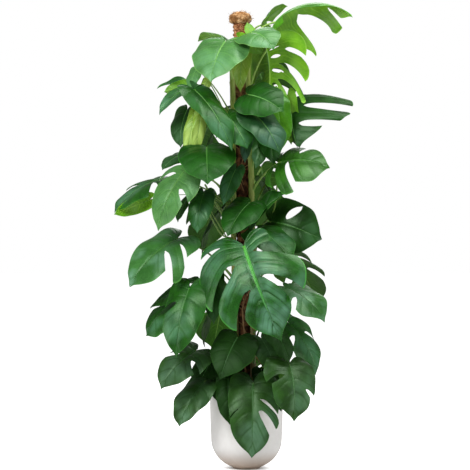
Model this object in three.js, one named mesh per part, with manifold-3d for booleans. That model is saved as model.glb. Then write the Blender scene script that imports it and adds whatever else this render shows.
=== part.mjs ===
// Swiss cheese plant (Monstera deliciosa) on a coir pole in a white round-bottomed pot.
// Millimetres, +Z up. The origin is the centre of the pot's flat base and the front is -Y.
import * as THREE from 'three';
import { mergeVertices } from 'three/addons/utils/BufferGeometryUtils.js';
import Module from 'manifold-3d';

// Driving dimensions: the pot
const POT_RIM_RADIUS = 122;
const POT_HEIGHT = 246;
const POT_WALL = 5;
const POT_BASE_RADIUS = 44;
const POT_BELLY_RADIUS = 115;
const POT_BELLY_HEIGHT = 96;
const POT_BELLY_DROP = 100;
const POT_FLOOR = 11;
const POT_SIDES = 30;

// The pole, which leans a little to the left
const POLE_HEIGHT = 1470;
const POLE_FOOT = [3, 0, 16];
const POLE_LEAN = -0.016;
const TUBE_RADIUS = 12;
const COIR_RADIUS = 22;
const HEAD_RADIUS = 37;
const HEAD_HEIGHT = 38;
const TWINE_RADIUS = 2.2;
const POLE_SIDES = 14;

// Stems and soil
const STEM_RADIUS = 10;
const ROOT_RADIUS = 2.6;
const SOIL_HEIGHT = 214;
const SOIL_MOUND = 8;
const SOIL_MOUND_RADIUS = 60;
const GAP = 0.3;

// Leaves
const BLADE_THICKNESS = 1.2;
const STALK_RADIUS = 3.4;
const STALK_SIDES = 4;
const STALK_STEPS = 4;

const wasm = await Module();
wasm.setup();
const plant = new THREE.Group();

// Solids and meshes

function solidOf(geometry) {
  const bare = geometry.index ? geometry.toNonIndexed() : geometry.clone();
  bare.deleteAttribute('normal');
  bare.deleteAttribute('uv');
  const merged = mergeVertices(bare, 1e-4);
  return new wasm.Manifold(new wasm.Mesh({
    numProp: 3,
    vertProperties: Float32Array.from(merged.attributes.position.array),
    triVerts: Uint32Array.from(merged.index.array),
  }));
}

function geometryOf(solid) {
  const mesh = solid.getMesh();
  const corners = [];
  for (let i = 0; i < mesh.vertProperties.length; i += mesh.numProp) {
    corners.push(...mesh.vertProperties.slice(i, i + 3));
  }
  const geometry = new THREE.BufferGeometry();
  geometry.setAttribute('position', new THREE.Float32BufferAttribute(corners, 3));
  geometry.setIndex(Array.from(mesh.triVerts));
  geometry.computeVertexNormals();
  return geometry;
}

// A union can leave crumbs where two faces nearly meet
const SMALLEST_BODY = 1;

function withoutCrumbs(solid) {
  const bodies = solid.decompose().filter((body) => body.volume() > SMALLEST_BODY);
  return bodies.reduce((whole, body) => whole.add(body));
}

function addPart(name, geometry, color, roughness) {
  const material = new THREE.MeshStandardMaterial({ color, roughness, metalness: 0 });
  const mesh = new THREE.Mesh(geometry, material);
  mesh.name = name;
  plant.add(mesh);
}

function vector([x, y, z]) {
  return new THREE.Vector3(x, y, z);
}

function roundTube(curve, radius, sides, steps) {
  const section = new THREE.Shape();
  for (let i = 0; i < sides; i += 1) {
    const turn = (2 * Math.PI * i) / sides;
    const move = i === 0 ? 'moveTo' : 'lineTo';
    section[move](radius * Math.cos(turn), radius * Math.sin(turn));
  }
  section.closePath();
  return new THREE.ExtrudeGeometry(section, { steps, bevelEnabled: false, extrudePath: curve });
}

function latheUp(points, sides) {
  const geometry = new THREE.LatheGeometry(points.map(([r, z]) => new THREE.Vector2(r, z)), sides);
  return geometry.rotateX(Math.PI / 2);
}

// The pot: a turned wall, rounded below to a small flat base

function bellyPoints(radius, height, from, steps) {
  const points = [];
  for (let i = 0; i <= steps; i += 1) {
    const turn = from + ((Math.PI / 2 - from) * i) / steps;
    points.push([radius * Math.sin(turn), POT_BELLY_HEIGHT - height * Math.cos(turn)]);
  }
  return points;
}

// Where the rounded part starts, as a turn from straight down
const OUTER_START = 0.433;
const INNER_START = 0.5;
const outer = bellyPoints(POT_BELLY_RADIUS, POT_BELLY_DROP, OUTER_START, 5);
const inner = bellyPoints(POT_BELLY_RADIUS - POT_WALL, POT_BELLY_DROP - POT_WALL, INNER_START, 4);
const potProfile = [
  [0, 0],
  [POT_BASE_RADIUS, 0],
  ...outer,
  [POT_RIM_RADIUS, POT_HEIGHT],
  [POT_RIM_RADIUS - POT_WALL, POT_HEIGHT],
  ...inner.reverse(),
  [0, POT_FLOOR],
];
addPart('pot', latheUp(potProfile, POT_SIDES), 0xd9d7d4, 0.75);

// The pole's axis, and the stems that climb beside it

function poleAxis(z, around = 0, away = 0) {
  const x = POLE_FOOT[0] + POLE_LEAN * (z - POLE_FOOT[2]);
  return new THREE.Vector3(x + away * Math.cos(around), POLE_FOOT[1] + away * Math.sin(around), z);
}

function upright(bottom, top) {
  return new THREE.LineCurve3(poleAxis(bottom), poleAxis(top));
}

// Each stem's turn round the pole and its wobble are in degrees
const STEM_AWAY = COIR_RADIUS + STEM_RADIUS + 1.5;
const STEM_SWAY = 1.5;
const STEM_SWAY_HEIGHT = 90;
const STEM_KNEE = 160;
const STEM_SIDES = 6;
const STEM_STEPS = 18;
const STEMS = {
  left: { around: 205, wobble: 9, bottom: 150, top: 1400 },
  right: { around: 320, wobble: -8, bottom: 150, top: 1430 },
  back: { around: 85, wobble: 10, bottom: 150, top: 1360 },
};

function stemPoint(stem, z) {
  const turn = THREE.MathUtils.degToRad(stem.around + stem.wobble * Math.sin(z / STEM_KNEE));
  const sway = STEM_SWAY * Math.sin(z / STEM_SWAY_HEIGHT) ** 2;
  return poleAxis(z, turn, STEM_AWAY + sway);
}

class StemCurve extends THREE.Curve {
  constructor(stem) {
    super();
    this.stem = stem;
  }

  getPoint(t) {
    return stemPoint(this.stem, THREE.MathUtils.lerp(this.stem.bottom, this.stem.top, t));
  }
}

function stemTube(stem, extra) {
  return solidOf(roundTube(new StemCurve(stem), STEM_RADIUS + extra, STEM_SIDES, STEM_STEPS));
}

// Aerial roots leave a stem at one height and run down into the soil: the turn round the pole
// is in degrees and the rest in millimetres

const ROOTS = [
  { stem: 'left', from: 470, around: 222, away: 62 },
  { stem: 'left', from: 400, around: 190, away: 58 },
  { stem: 'right', from: 600, around: 264, away: 60 },
  { stem: 'right', from: 380, around: 345, away: 64 },
  { stem: 'back', from: 480, around: 60, away: 62 },
];
const ROOT_BEND_DROP = 60;
const ROOT_BOW = 6;
const ROOT_LANDING = SOIL_HEIGHT + 20;
const ROOT_END = SOIL_HEIGHT - 40;

function rootTube(root, extra) {
  const start = stemPoint(STEMS[root.stem], root.from);
  const turn = THREE.MathUtils.degToRad(root.around);
  const bend = poleAxis(root.from - ROOT_BEND_DROP, turn, root.away + ROOT_BOW);
  const low = poleAxis(ROOT_LANDING, turn, root.away);
  const end = poleAxis(ROOT_END, turn, root.away);
  const path = new THREE.CatmullRomCurve3([start, bend, low, end]);
  return solidOf(roundTube(path, ROOT_RADIUS + extra, 5, 8));
}

const stemSolids = {};
const grownStems = {};
for (const [side, stem] of Object.entries(STEMS)) {
  stemSolids[side] = stemTube(stem, 0);
  grownStems[side] = stemTube(stem, GAP);
}
for (const root of ROOTS) {
  stemSolids[root.stem] = stemSolids[root.stem].add(rootTube(root, 0));
}
for (const [side, solid] of Object.entries(stemSolids)) {
  addPart(`stem_${side}`, geometryOf(solid), 0x7d8a3a, 0.6);
}

// The pole: a stiff tube, the coir sleeve round it, the bound head and the twine under it

const TUBE_BOTTOM = 22;
const TUBE_TOP = POLE_HEIGHT - 12;
const TUBE_SIDES = 10;
const COIR_BOTTOM = 60;
const COIR_TOP = POLE_HEIGHT - 4;

function straightTube(bottom, top, radius, sides) {
  return solidOf(roundTube(upright(bottom, top), radius, sides, 1));
}

const poleTube = straightTube(TUBE_BOTTOM, TUBE_TOP, TUBE_RADIUS, TUBE_SIDES);
const tubeHole = straightTube(0, TUBE_TOP + 1, TUBE_RADIUS + GAP, TUBE_SIDES);
addPart('pole_tube', geometryOf(poleTube), 0x4a4642, 0.6);

const coir = straightTube(COIR_BOTTOM, COIR_TOP, COIR_RADIUS, POLE_SIDES);
addPart('pole_coir', geometryOf(coir.subtract(tubeHole)), 0x6b4429, 0.95);

// The head's profile, as shares of its radius and of its height
const HEAD_PROFILE = [
  [0, -0.05],
  [0.62, -0.08],
  [0.94, 0.13],
  [1, 0.42],
  [0.86, 0.78],
  [0.5, 0.97],
  [0, 1],
];
const headPoint = poleAxis(POLE_HEIGHT);
const headProfile = HEAD_PROFILE.map(([r, z]) => [r * HEAD_RADIUS, z * HEAD_HEIGHT]);
const head = latheUp(headProfile, POLE_SIDES);
head.translate(headPoint.x, headPoint.y, headPoint.z);
addPart('pole_head', head, 0xb08458, 0.95);

const TWINE_TURNS = 3;
const TWINE_BOTTOM = POLE_HEIGHT - 44;
const TWINE_RISE = 13;
const TWINE_AWAY = COIR_RADIUS + TWINE_RADIUS + 0.8;

class TwineCurve extends THREE.Curve {
  getPoint(t) {
    const turn = 2 * Math.PI * TWINE_TURNS * t;
    return poleAxis(TWINE_BOTTOM + TWINE_RISE * TWINE_TURNS * t, turn, TWINE_AWAY);
  }
}

addPart('pole_twine', roundTube(new TwineCurve(), TWINE_RADIUS, 4, 36), 0x5a3a24, 0.9);

// The soil fills the pot, with plain holes for the pole, the stems and the roots

const soilWall = inner.map(([r, z]) => [r - GAP, z + GAP]).reverse();
const wallShare = (SOIL_HEIGHT - POT_BELLY_HEIGHT) / (POT_HEIGHT - POT_BELLY_HEIGHT);
const soilTopRadius = THREE.MathUtils.lerp(POT_BELLY_RADIUS, POT_RIM_RADIUS, wallShare)
  - POT_WALL - GAP;
let soil = solidOf(latheUp([
  [0, POT_FLOOR + GAP],
  ...soilWall,
  [soilTopRadius, SOIL_HEIGHT],
  [SOIL_MOUND_RADIUS, SOIL_HEIGHT + SOIL_MOUND],
  [0, SOIL_HEIGHT + SOIL_MOUND],
], POT_SIDES));
soil = soil.subtract(tubeHole);
soil = soil.subtract(straightTube(COIR_BOTTOM - 1, COIR_TOP, COIR_RADIUS + GAP, POLE_SIDES));
for (const stem of Object.values(STEMS)) {
  soil = soil.subtract(stemTube({ ...stem, bottom: stem.bottom - 1 }, GAP));
}
for (const root of ROOTS) {
  soil = soil.subtract(rootTube(root, GAP));
}
addPart('soil', geometryOf(soil), 0x2b211a, 1);

// A leaf's outline: half of its margin, from the notch beside the stalk round to the tip, as
// shares of the blade's length (along) and of its half width (across)

const MARGIN = new THREE.SplineCurve([
  new THREE.Vector2(-0.07, 0.05),
  new THREE.Vector2(-0.19, 0.3),
  new THREE.Vector2(-0.18, 0.68),
  new THREE.Vector2(-0.01, 0.94),
  new THREE.Vector2(0.24, 1),
  new THREE.Vector2(0.5, 0.94),
  new THREE.Vector2(0.74, 0.72),
  new THREE.Vector2(0.9, 0.36),
  new THREE.Vector2(1, 0),
]);
// The veins of the first share of the margin fan out from the stalk, and the rest leave the
// midrib further and further along and sweep towards the tip
const FAN_SHARE = 0.35;
const VEIN_SPREAD = 1.5;
const VEIN_SWEEP = 0.05;

// A blade's usual curves in degrees, and its ripple as a share of its length
const USUAL_ARCH = 45;
const USUAL_FOLD = 12;
const USUAL_DROOP = 40;
const USUAL_WAVE = 0.03;
const RIPPLE_TURNS = 21;

// How one side of a blade is cut, by the number of its slots. A slot is given as how far out from
// the midrib it starts, its two edges there, and its two edges at the margin

const CUTS = [
  [],
  [[0.4, 0.58, 0.62, 0.57, 0.63]],
  [[0.46, 0.4, 0.43, 0.395, 0.44], [0.4, 0.64, 0.68, 0.645, 0.69]],
  [[0.42, 0.29, 0.31, 0.28, 0.32], [0.34, 0.46, 0.5, 0.46, 0.51], [0.34, 0.65, 0.69, 0.66, 0.71]],
];

// Lines run from the midrib to the margin, with a lobe or a slot after each of them. The longest
// piece of a lobe is a share of the margin, and the row between them a share of the way out
const LONGEST_LOBE = 0.19;
const INNER_ROW = 0.5;

function linesOf(leaf, half) {
  const cuts = leaf.cuts?.[half] ?? CUTS[leaf.slots[half]];
  const reaches = leaf.reach?.[half] ?? [];
  const lines = [];
  let start = { v: 0, out: 0 };
  const addLobe = (end, reach = 1) => {
    const count = Math.max(1, Math.round((end.out - start.out) / LONGEST_LOBE));
    for (let i = 0; i <= count; i += 1) {
      const v = THREE.MathUtils.lerp(start.v, end.v, i / count);
      const out = THREE.MathUtils.lerp(start.out, end.out, i / count);
      const depth = (i === 0 && start.depth) || (i === count && end.depth) || INNER_ROW;
      lines.push({ v, out, depth, reach, slot: i === count });
    }
  };
  cuts.forEach(([depth, innerStart, innerEnd, outerStart, outerEnd], i) => {
    addLobe({ v: innerStart, out: outerStart, depth }, reaches[i]);
    start = { v: innerEnd, out: outerEnd, depth };
  });
  addLobe({ v: 1, out: 1 }, reaches[cuts.length]);
  return lines;
}

// A point of the blade. The midrib is an arc from the stalk to the tip, and each half is an arc
// that starts upwards at the fold and droops towards the margin
function bladeShape(leaf) {
  const base = vector(leaf.base);
  const chord = vector(leaf.tip).sub(base);
  const length = chord.length();
  const ahead = chord.normalize();
  const facing = vector(leaf.face);
  const up = facing.addScaledVector(ahead, -facing.dot(ahead)).normalize();
  const aside = new THREE.Vector3().crossVectors(ahead, up);
  const arch = THREE.MathUtils.degToRad(leaf.arch ?? USUAL_ARCH);
  const fold = THREE.MathUtils.degToRad(leaf.fold ?? USUAL_FOLD);
  const droop = THREE.MathUtils.degToRad(leaf.droop ?? USUAL_DROOP);
  const wave = USUAL_WAVE * length;
  const sweepShare = leaf.sweep ?? VEIN_SWEEP;
  const bend = length / (2 * Math.sin(arch / 2));
  const halfWidth = leaf.width / 2;

  return (side, v, r) => {
    const edge = MARGIN.getPoint(v);
    const vein = Math.max(0, (v - FAN_SHARE) / (1 - FAN_SHARE)) ** VEIN_SPREAD;
    const sweep = sweepShare * 4 * r * (1 - r) * edge.y;
    const along = THREE.MathUtils.lerp(vein, edge.x, r) - sweep;
    const heading = arch * (0.5 - along);
    const point = base.clone();
    point.addScaledVector(ahead, bend * (Math.sin(arch / 2) - Math.sin(heading)));
    point.addScaledVector(up, bend * (Math.cos(heading) - Math.cos(arch / 2)));
    const across = edge.y * r;
    const slope = fold - droop * across;
    const out = (halfWidth * (Math.sin(fold) - Math.sin(slope))) / droop;
    const rise = (halfWidth * (Math.cos(slope) - Math.cos(fold))) / droop;
    const ripple = wave * Math.sin(v * RIPPLE_TURNS + side) * across * r;
    point.addScaledVector(aside, side * out);
    point.addScaledVector(up, Math.cos(heading) * (rise + ripple));
    point.addScaledVector(ahead, -Math.sin(heading) * (rise + ripple));
    return point;
  };
}

// A lobe's reach makes it longer or shorter than the margin, more so further from the midrib
function reached(r, reach) {
  return r * (1 + (reach - 1) * r);
}

// The blade as one closed sheet: the same triangles above and below, joined round every edge
function bladeSolid(leaf) {
  const shape = bladeShape(leaf);
  const points = [];
  const keys = new Map();
  const triangles = [];

  const pointAt = (side, v, r) => {
    const point = shape(side, v, r);
    const key = point.toArray().map((n) => n.toFixed(3)).join();
    if (!keys.has(key)) {
      keys.set(key, points.length);
      points.push(point);
    }
    return keys.get(key);
  };
  const addTriangle = (side, a, b, c) => {
    if (a === b || b === c || a === c) return;
    triangles.push(side > 0 ? [a, b, c] : [a, c, b]);
  };

  // Both halves meet the midrib at the same points, whichever half's vein is there
  const halves = [linesOf(leaf, 0), linesOf(leaf, 1)];
  const veins = halves.flat().map(({ v }) => v).sort((a, b) => a - b);

  for (const [half, side] of [[0, 1], [1, -1]]) {
    const lines = halves[half];
    for (let i = 1; i < lines.length; i += 1) {
      const [left, right] = [lines[i - 1], lines[i]];
      const [midLeft, midRight] = [left, right].map(({ v, depth, reach }) => (
        pointAt(side, v, reached(depth, reach))
      ));
      const ribs = veins.filter((v) => v >= left.v && v <= right.v).map((v) => pointAt(side, v, 0));
      for (let k = 1; k < ribs.length; k += 1) {
        addTriangle(side, ribs[k - 1], midLeft, ribs[k]);
      }
      addTriangle(side, midLeft, midRight, ribs.at(-1));
      if (left.slot) continue;
      const [outLeft, outRight] = [left, right].map(({ out, reach }) => pointAt(side, out, reach));
      addTriangle(side, midLeft, outLeft, outRight);
      addTriangle(side, midLeft, outRight, midRight);
    }
  }
  return thicken(points, triangles);
}

function thicken(points, triangles) {
  const normals = points.map(() => new THREE.Vector3());
  const directed = new Set();
  for (const [a, b, c] of triangles) {
    const first = points[b].clone().sub(points[a]);
    const second = points[c].clone().sub(points[a]);
    const area = first.cross(second);
    for (const i of [a, b, c]) normals[i].add(area);
    for (const [p, q] of [[a, b], [b, c], [c, a]]) directed.add(`${p},${q}`);
  }
  normals.forEach((normal) => normal.normalize());
  const corners = [];
  for (const way of [0.5, -0.5]) {
    points.forEach((point, i) => {
      corners.push(...point.clone().addScaledVector(normals[i], way * BLADE_THICKNESS).toArray());
    });
  }
  const count = points.length;
  const faces = [];
  for (const [a, b, c] of triangles) {
    faces.push(a, b, c, a + count, c + count, b + count);
  }
  for (const pair of directed) {
    const [p, q] = pair.split(',').map(Number);
    if (directed.has(`${q},${p}`)) continue;
    faces.push(q, p, p + count, q, p + count, q + count);
  }
  return new wasm.Manifold(new wasm.Mesh({
    numProp: 3,
    vertProperties: Float32Array.from(corners),
    triVerts: Uint32Array.from(faces),
  }));
}

// The stalk leaves the stem steeply, bends outwards and ends sunk in the blade's notch. Its
// end is a share of its radius under the blade, and its bend stands part way along and above
const STALK_SINK = 0.4;
const STALK_BEND = 0.45;
const STALK_LIFT = 0.22;
const NOTCH = [1, 0.4, 0];

function stalkSolid(leaf) {
  const radius = leaf.stalk ?? STALK_RADIUS;
  const shape = bladeShape(leaf);
  const start = stemPoint(STEMS[leaf.stem], leaf.from);
  const end = shape(...NOTCH);
  end.addScaledVector(vector(leaf.face).normalize(), -STALK_SINK * radius);
  const bend = start.clone().lerp(end, STALK_BEND);
  bend.z += leaf.lift ?? STALK_LIFT * start.distanceTo(end);
  const path = new THREE.QuadraticBezierCurve3(start, bend, end);
  const tube = solidOf(roundTube(path, radius, STALK_SIDES, STALK_STEPS));
  return tube.subtract(grownStems[leaf.stem]);
}

// Every leaf: which stem it grows from and how high, where its blade starts and ends, which way
// its upper face looks, how wide it is, and how many slots its two sides have. A row may give
// its own curves, cuts, reach of each lobe, sweep of its veins, stalk radius and lift of the
// stalk's bend. Leaves with the same node share a sheath on the stem

const DARK = 0x245a28;
const MIDDLE = 0x3c7a3a;
const PALE = 0x7db07f;
const OLIVE = 0x5c8a1c;
const LIME = 0xa9cc3a;

const LEAVES = [
  // The crown
  { node: 'top_right', stem: 'right', from: 1410, base: [90, -40, 1465], tip: [345, -30, 1495],
    face: [0, 0.25, 0.95], width: 260, arch: 95, fold: -25, droop: 50, color: MIDDLE,
    cuts: [
      [[0.12, 0.5, 0.55, 0.45, 0.76]],
      [[0.35, 0.36, 0.4, 0.34, 0.41], [0.3, 0.6, 0.69, 0.605, 0.8],
        [0.3, 0.84, 0.86, 0.89, 0.905]],
    ],
    reach: [[0.35, 0.5], [0.62, 1.35, 1.35, 1]] },
  { node: 'crown_front', stem: 'right', from: 1390, base: [15, -100, 1428], tip: [85, -165, 1370],
    face: [0.1, -0.7, 0.7], width: 150, slots: [0, 0], arch: 70, color: PALE },
  { node: 'crown_left', stem: 'left', from: 1270, base: [-70, -95, 1400], tip: [-115, -200, 1265],
    face: [-0.2, -0.7, 0.7], width: 190, slots: [0, 0], color: PALE },
  { node: 'crown_narrow', stem: 'right', from: 1310, base: [-5, -62, 1385],
    tip: [-20, -95, 1240], face: [-0.8, -0.5, 0.2], width: 105, slots: [0, 0], color: MIDDLE },
  { node: 'right_lifted', stem: 'right', from: 1240, base: [65, -50, 1380], tip: [65, -60, 1170],
    face: [0.57, 0.82, 0.1], width: 265, fold: 35, droop: 15, sweep: 0.08, color: OLIVE,
    cuts: [
      [[0.5, 0.455, 0.49, 0.475, 0.505], [0.3, 0.59, 0.62, 0.64, 0.7],
        [0.28, 0.715, 0.745, 0.735, 0.795]],
      CUTS[2],
    ],
    reach: [[1.02, 1, 1.15, 1], []] },
  // Left, upper
  { node: 'left_forked', stem: 'left', from: 1150, base: [-165, -50, 1315],
    tip: [-180, -80, 1240], face: [-0.5, -0.8, 0.2], width: 55, slots: [0, 0], stalk: 2.4,
    color: PALE },
  { node: 'left_forked', stem: 'left', from: 1150, base: [-190, -60, 1250],
    tip: [-283, -110, 1165], face: [-0.3, -0.5, 0.8], width: 160, color: MIDDLE,
    cuts: [[[0.25, 0.46, 0.58, 0.64, 0.86]], CUTS[1]], reach: [[1, 0.6], []] },
  { node: 'left_long', stem: 'left', from: 1090, base: [-170, -145, 1240], tip: [-50, -225, 1045],
    face: [0.3, -0.7, 0.6], width: 110, slots: [0, 0], color: MIDDLE },
  { node: 'left_lime', stem: 'left', from: 1050, base: [-195, -40, 1182], tip: [-215, -75, 1060],
    face: [-0.5, -0.7, 0.4], width: 105, slots: [0, 0], stalk: 2.8, color: DARK },
  { node: 'left_lime', stem: 'left', from: 1050, base: [-160, -80, 1185], tip: [-190, -85, 1025],
    face: [-0.2, -0.9, 0.2], width: 68, slots: [0, 0], stalk: 2.4, color: LIME },
  // Right, upper
  { node: 'mid_right_dark', stem: 'right', from: 1120, base: [5, -125, 1225],
    tip: [115, -165, 1170], face: [0.1, -0.8, 0.6], width: 165, slots: [0, 0], color: DARK },
  { node: 'mid_right_blue', stem: 'right', from: 1040, base: [20, -130, 1165],
    tip: [105, -190, 1035], face: [0.4, -0.75, 0.5], width: 140, slots: [0, 0], color: MIDDLE },
  { node: 'mid_centre', stem: 'left', from: 1010, base: [-60, -140, 1155], tip: [0, -195, 1050],
    face: [0.1, -0.8, 0.5], width: 115, slots: [0, 0], color: MIDDLE },
  { node: 'mid_hanging', stem: 'right', from: 970, base: [45, -60, 1100], tip: [30, -90, 990],
    face: [0.5, -0.8, 0.3], width: 65, slots: [0, 0], stalk: 2.6, color: PALE },
  { node: 'right_fingers', stem: 'right', from: 1080, base: [160, 20, 1225],
    tip: [165, -80, 1060], face: [-0.72, -0.69, 0], width: 390, fold: -33, droop: 15,
    color: DARK,
    cuts: [
      [],
      [[0.3, 0.14, 0.16, 0.24, 0.26], [0.2, 0.54, 0.6, 0.48, 0.6],
        [0.22, 0.77, 0.82, 0.735, 0.8]],
    ],
    reach: [[0.6], [0.4, 1.06, 1.08, 0.95]] },
  { node: 'right_slots', stem: 'right', from: 910, base: [110, -88, 1005], tip: [265, -133, 992],
    face: [0, -0.6, 0.8], width: 232, color: MIDDLE,
    cuts: [[[0.15, 0.36, 0.4, 0.375, 0.43], [0.12, 0.565, 0.6, 0.585, 0.64]], CUTS[2]],
    reach: [[1.1, 1.1, 1], []] },
  // Left, middle
  { node: 'front_heart', stem: 'left', from: 930, base: [-130, -135, 1055],
    tip: [-125, -265, 935], face: [0, -0.65, 0.75], width: 190, slots: [0, 0], color: DARK },
  { node: 'far_left', stem: 'left', from: 856, base: [-215, -15, 1035], tip: [-275, -50, 985],
    face: [-0.3, -0.5, 0.8], width: 80, slots: [0, 0], stalk: 2.4, color: DARK },
  { node: 'far_left', stem: 'left', from: 856, base: [-275, -20, 955], tip: [-430, -75, 850],
    face: [-0.5, -0.35, 0.8], width: 182, color: MIDDLE,
    cuts: [CUTS[3], [[0.4, 0.4, 0.43, 0.38, 0.45], [0.3, 0.56, 0.6, 0.54, 0.62]]],
    reach: [[1.1, 1, 1, 0.9], [0.9, 1.15, 1.6]] },
  { node: 'left_diamond', stem: 'left', from: 880, base: [-195, -125, 985],
    tip: [-285, -180, 790], face: [-0.4, -0.7, 0.5], width: 175, color: MIDDLE,
    cuts: [[[0.3, 0.33, 0.38, 0.3, 0.42], [0.3, 0.5, 0.54, 0.52, 0.58]], CUTS[2]],
    reach: [[0.8, 1, 0.85], [1, 1, 1]] },
  { node: 'left_hanging', stem: 'left', from: 790, base: [-175, -60, 910],
    tip: [-225, -80, 815], face: [-0.8, -0.5, 0.3], width: 80, slots: [1, 1], stalk: 2.6,
    color: DARK },
  { node: 'left_hanging', stem: 'left', from: 790, base: [-140, -105, 905],
    tip: [-160, -150, 780], face: [-0.2, -0.8, 0.5], width: 85, slots: [0, 0], stalk: 2.8,
    color: MIDDLE },
  { node: 'centre_small', stem: 'left', from: 860, base: [-35, -115, 985], tip: [-75, -160, 870],
    face: [-0.1, -0.9, 0.4], width: 66, slots: [0, 0], stalk: 2.8, color: MIDDLE },
  { node: 'left_shield', stem: 'left', from: 620, base: [-225, -90, 760], tip: [-375, -160, 610],
    face: [-0.35, -0.65, 0.65], width: 205, color: MIDDLE,
    cuts: [[], [[0.4, 0.475, 0.5, 0.48, 0.515], [0.3, 0.62, 0.655, 0.625, 0.67]]],
    reach: [[0.9], [1, 1.35, 1.1]] },
  // Centre and right, middle
  { node: 'centre_dark', stem: 'left', from: 760, base: [10, -110, 875], tip: [-60, -180, 770],
    face: [-0.2, -0.7, 0.6], width: 130, slots: [0, 0], color: DARK },
  { node: 'right_upward', stem: 'right', from: 700, base: [20, -75, 830], tip: [125, -115, 905],
    face: [-0.4, -0.7, 0.5], width: 100, slots: [0, 0], reach: [[0.4], [1.1]], color: DARK },
  { node: 'right_arched', stem: 'right', from: 720, base: [78, -40, 815], tip: [240, -90, 758],
    face: [0.1, -0.95, 0.25], width: 200, arch: 60, color: MIDDLE,
    cuts: [
      [[0.3, 0.24, 0.28, 0.22, 0.3], [0.5, 0.58, 0.61, 0.6, 0.63]],
      [[0.12, 0.33, 0.64, 0.6, 0.66]],
    ],
    reach: [[0.4, 1, 1.03], [0.85, 0.62]] },
  { node: 'right_front', stem: 'right', from: 640, base: [40, -110, 785], tip: [140, -195, 690],
    face: [0.3, -0.7, 0.6], width: 150, slots: [0, 0], color: MIDDLE },
  { node: 'great', stem: 'left', from: 560, base: [-10, -215, 735], tip: [103, -300, 446],
    face: [-0.25, -0.95, 0.2], width: 370, stalk: 5, color: MIDDLE,
    cuts: [
      [[0.5, 0.32, 0.345, 0.33, 0.385], [0.3, 0.5, 0.6, 0.625, 0.645],
        [0.22, 0.7, 0.755, 0.775, 0.8]],
      [[0.18, 0.46, 0.54, 0.46, 0.575], [0.15, 0.665, 0.7, 0.71, 0.8]],
    ],
    reach: [[1, 1.03, 1, 0.8], [0.5, 0.95, 0.8]] },
  { node: 'beside_great', stem: 'left', from: 590, base: [-108, -135, 660],
    tip: [-106, -185, 490], face: [-0.1, -0.9, 0.3], width: 75, slots: [0, 0], color: DARK },
  { node: 'right_square', stem: 'right', from: 500, base: [125, -80, 602], tip: [250, -150, 495],
    face: [0.5, -0.6, 0.6], width: 200, color: MIDDLE,
    cuts: [CUTS[2], [[0.3, 0.33, 0.43, 0.2, 0.42]]], reach: [[], [0.5, 0.92]] },
  // Low
  { node: 'left_holes', stem: 'left', from: 500, base: [-165, -75, 622], tip: [-310, -130, 538],
    face: [-0.3, -0.5, 0.8], width: 150, slots: [0, 2], reach: [[0.3], []], arch: 30,
    color: DARK },
  { node: 'left_front', stem: 'left', from: 490, base: [-185, -180, 600], tip: [-225, -245, 390],
    face: [-0.3, -0.85, 0.4], width: 150, slots: [1, 0], reach: [[0.9, 0.95], []],
    lift: 20, color: MIDDLE },
  { node: 'left_holes', stem: 'left', from: 500, base: [-235, -70, 555], tip: [-325, -105, 447],
    face: [-0.5, -0.5, 0.7], width: 140, slots: [1, 0], reach: [[0.8, 0.8], [1.35]], stalk: 3,
    color: OLIVE },
  { node: 'right_low', stem: 'right', from: 370, base: [138, -50, 482], tip: [226, -80, 320],
    face: [0.5, -0.5, 0.7], width: 175, slots: [1, 1], reach: [[], [1.2, 0.9]], color: OLIVE },
  { node: 'right_inner', stem: 'right', from: 445, base: [85, -150, 468], tip: [135, -190, 365],
    face: [0.3, -0.8, 0.5], width: 80, slots: [0, 0], stalk: 2.8, color: DARK },
  { node: 'low_middle', stem: 'right', from: 340, base: [47, -112, 435], tip: [100, -170, 318],
    face: [0.2, -0.8, 0.5], width: 122, slots: [0, 0], reach: [[0.85], [0.8]], color: MIDDLE },
  { node: 'low_right', stem: 'right', from: 310, base: [138, -175, 355], tip: [150, -262, 187],
    face: [0.3, -0.8, 0.5], width: 182, color: MIDDLE,
    cuts: [[[0.35, 0.57, 0.61, 0.56, 0.61]], [[0.6, 0.69, 0.71, 0.69, 0.73]]],
    reach: [[1, 0.97], [0.92, 0.9]] },
  { node: 'low_centre', stem: 'left', from: 350, base: [-30, -140, 440], tip: [-85, -215, 315],
    face: [-0.1, -0.8, 0.5], width: 160, slots: [0, 0], reach: [[0.85], []], color: DARK },
  { node: 'low_left', stem: 'left', from: 290, base: [-165, -105, 395], tip: [-275, -160, 280],
    face: [-0.3, -0.6, 0.7], width: 180, slots: [1, 1], reach: [[0.85, 0.95], []],
    color: MIDDLE },
  { node: 'low_left', stem: 'left', from: 290, base: [-135, -100, 295],
    tip: [-215, -165, 160], face: [-0.3, -0.7, 0.6], width: 115, slots: [0, 0],
    reach: [[1.15], []], color: MIDDLE },
  { node: 'pot_left', stem: 'left', from: 250, base: [-60, -128, 305], tip: [-55, -172, 165],
    face: [-0.1, -0.9, 0.3], width: 85, slots: [0, 0], color: DARK },
  { node: 'pot_front', stem: 'right', from: 265, base: [20, -165, 295], tip: [15, -240, 70],
    face: [0, -0.9, 0.4], width: 185, color: MIDDLE,
    cuts: [
      [[0.3, 0.64, 0.665, 0.645, 0.68]],
      [[0.3, 0.585, 0.61, 0.605, 0.62], [0.28, 0.675, 0.72, 0.7, 0.77]],
    ],
    reach: [[0.85, 0.93], [0.95, 1.03, 0.95]] },
  { node: 'pot_front', stem: 'right', from: 265, base: [60, -105, 310], tip: [110, -150, 205],
    face: [0.3, -0.8, 0.4], width: 90, slots: [0, 0], stalk: 2.8, color: DARK },
  // The sides, behind the outermost leaves
  { node: 'side_right_high', stem: 'right', from: 820, base: [62, 30, 940], tip: [95, 50, 775],
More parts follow.
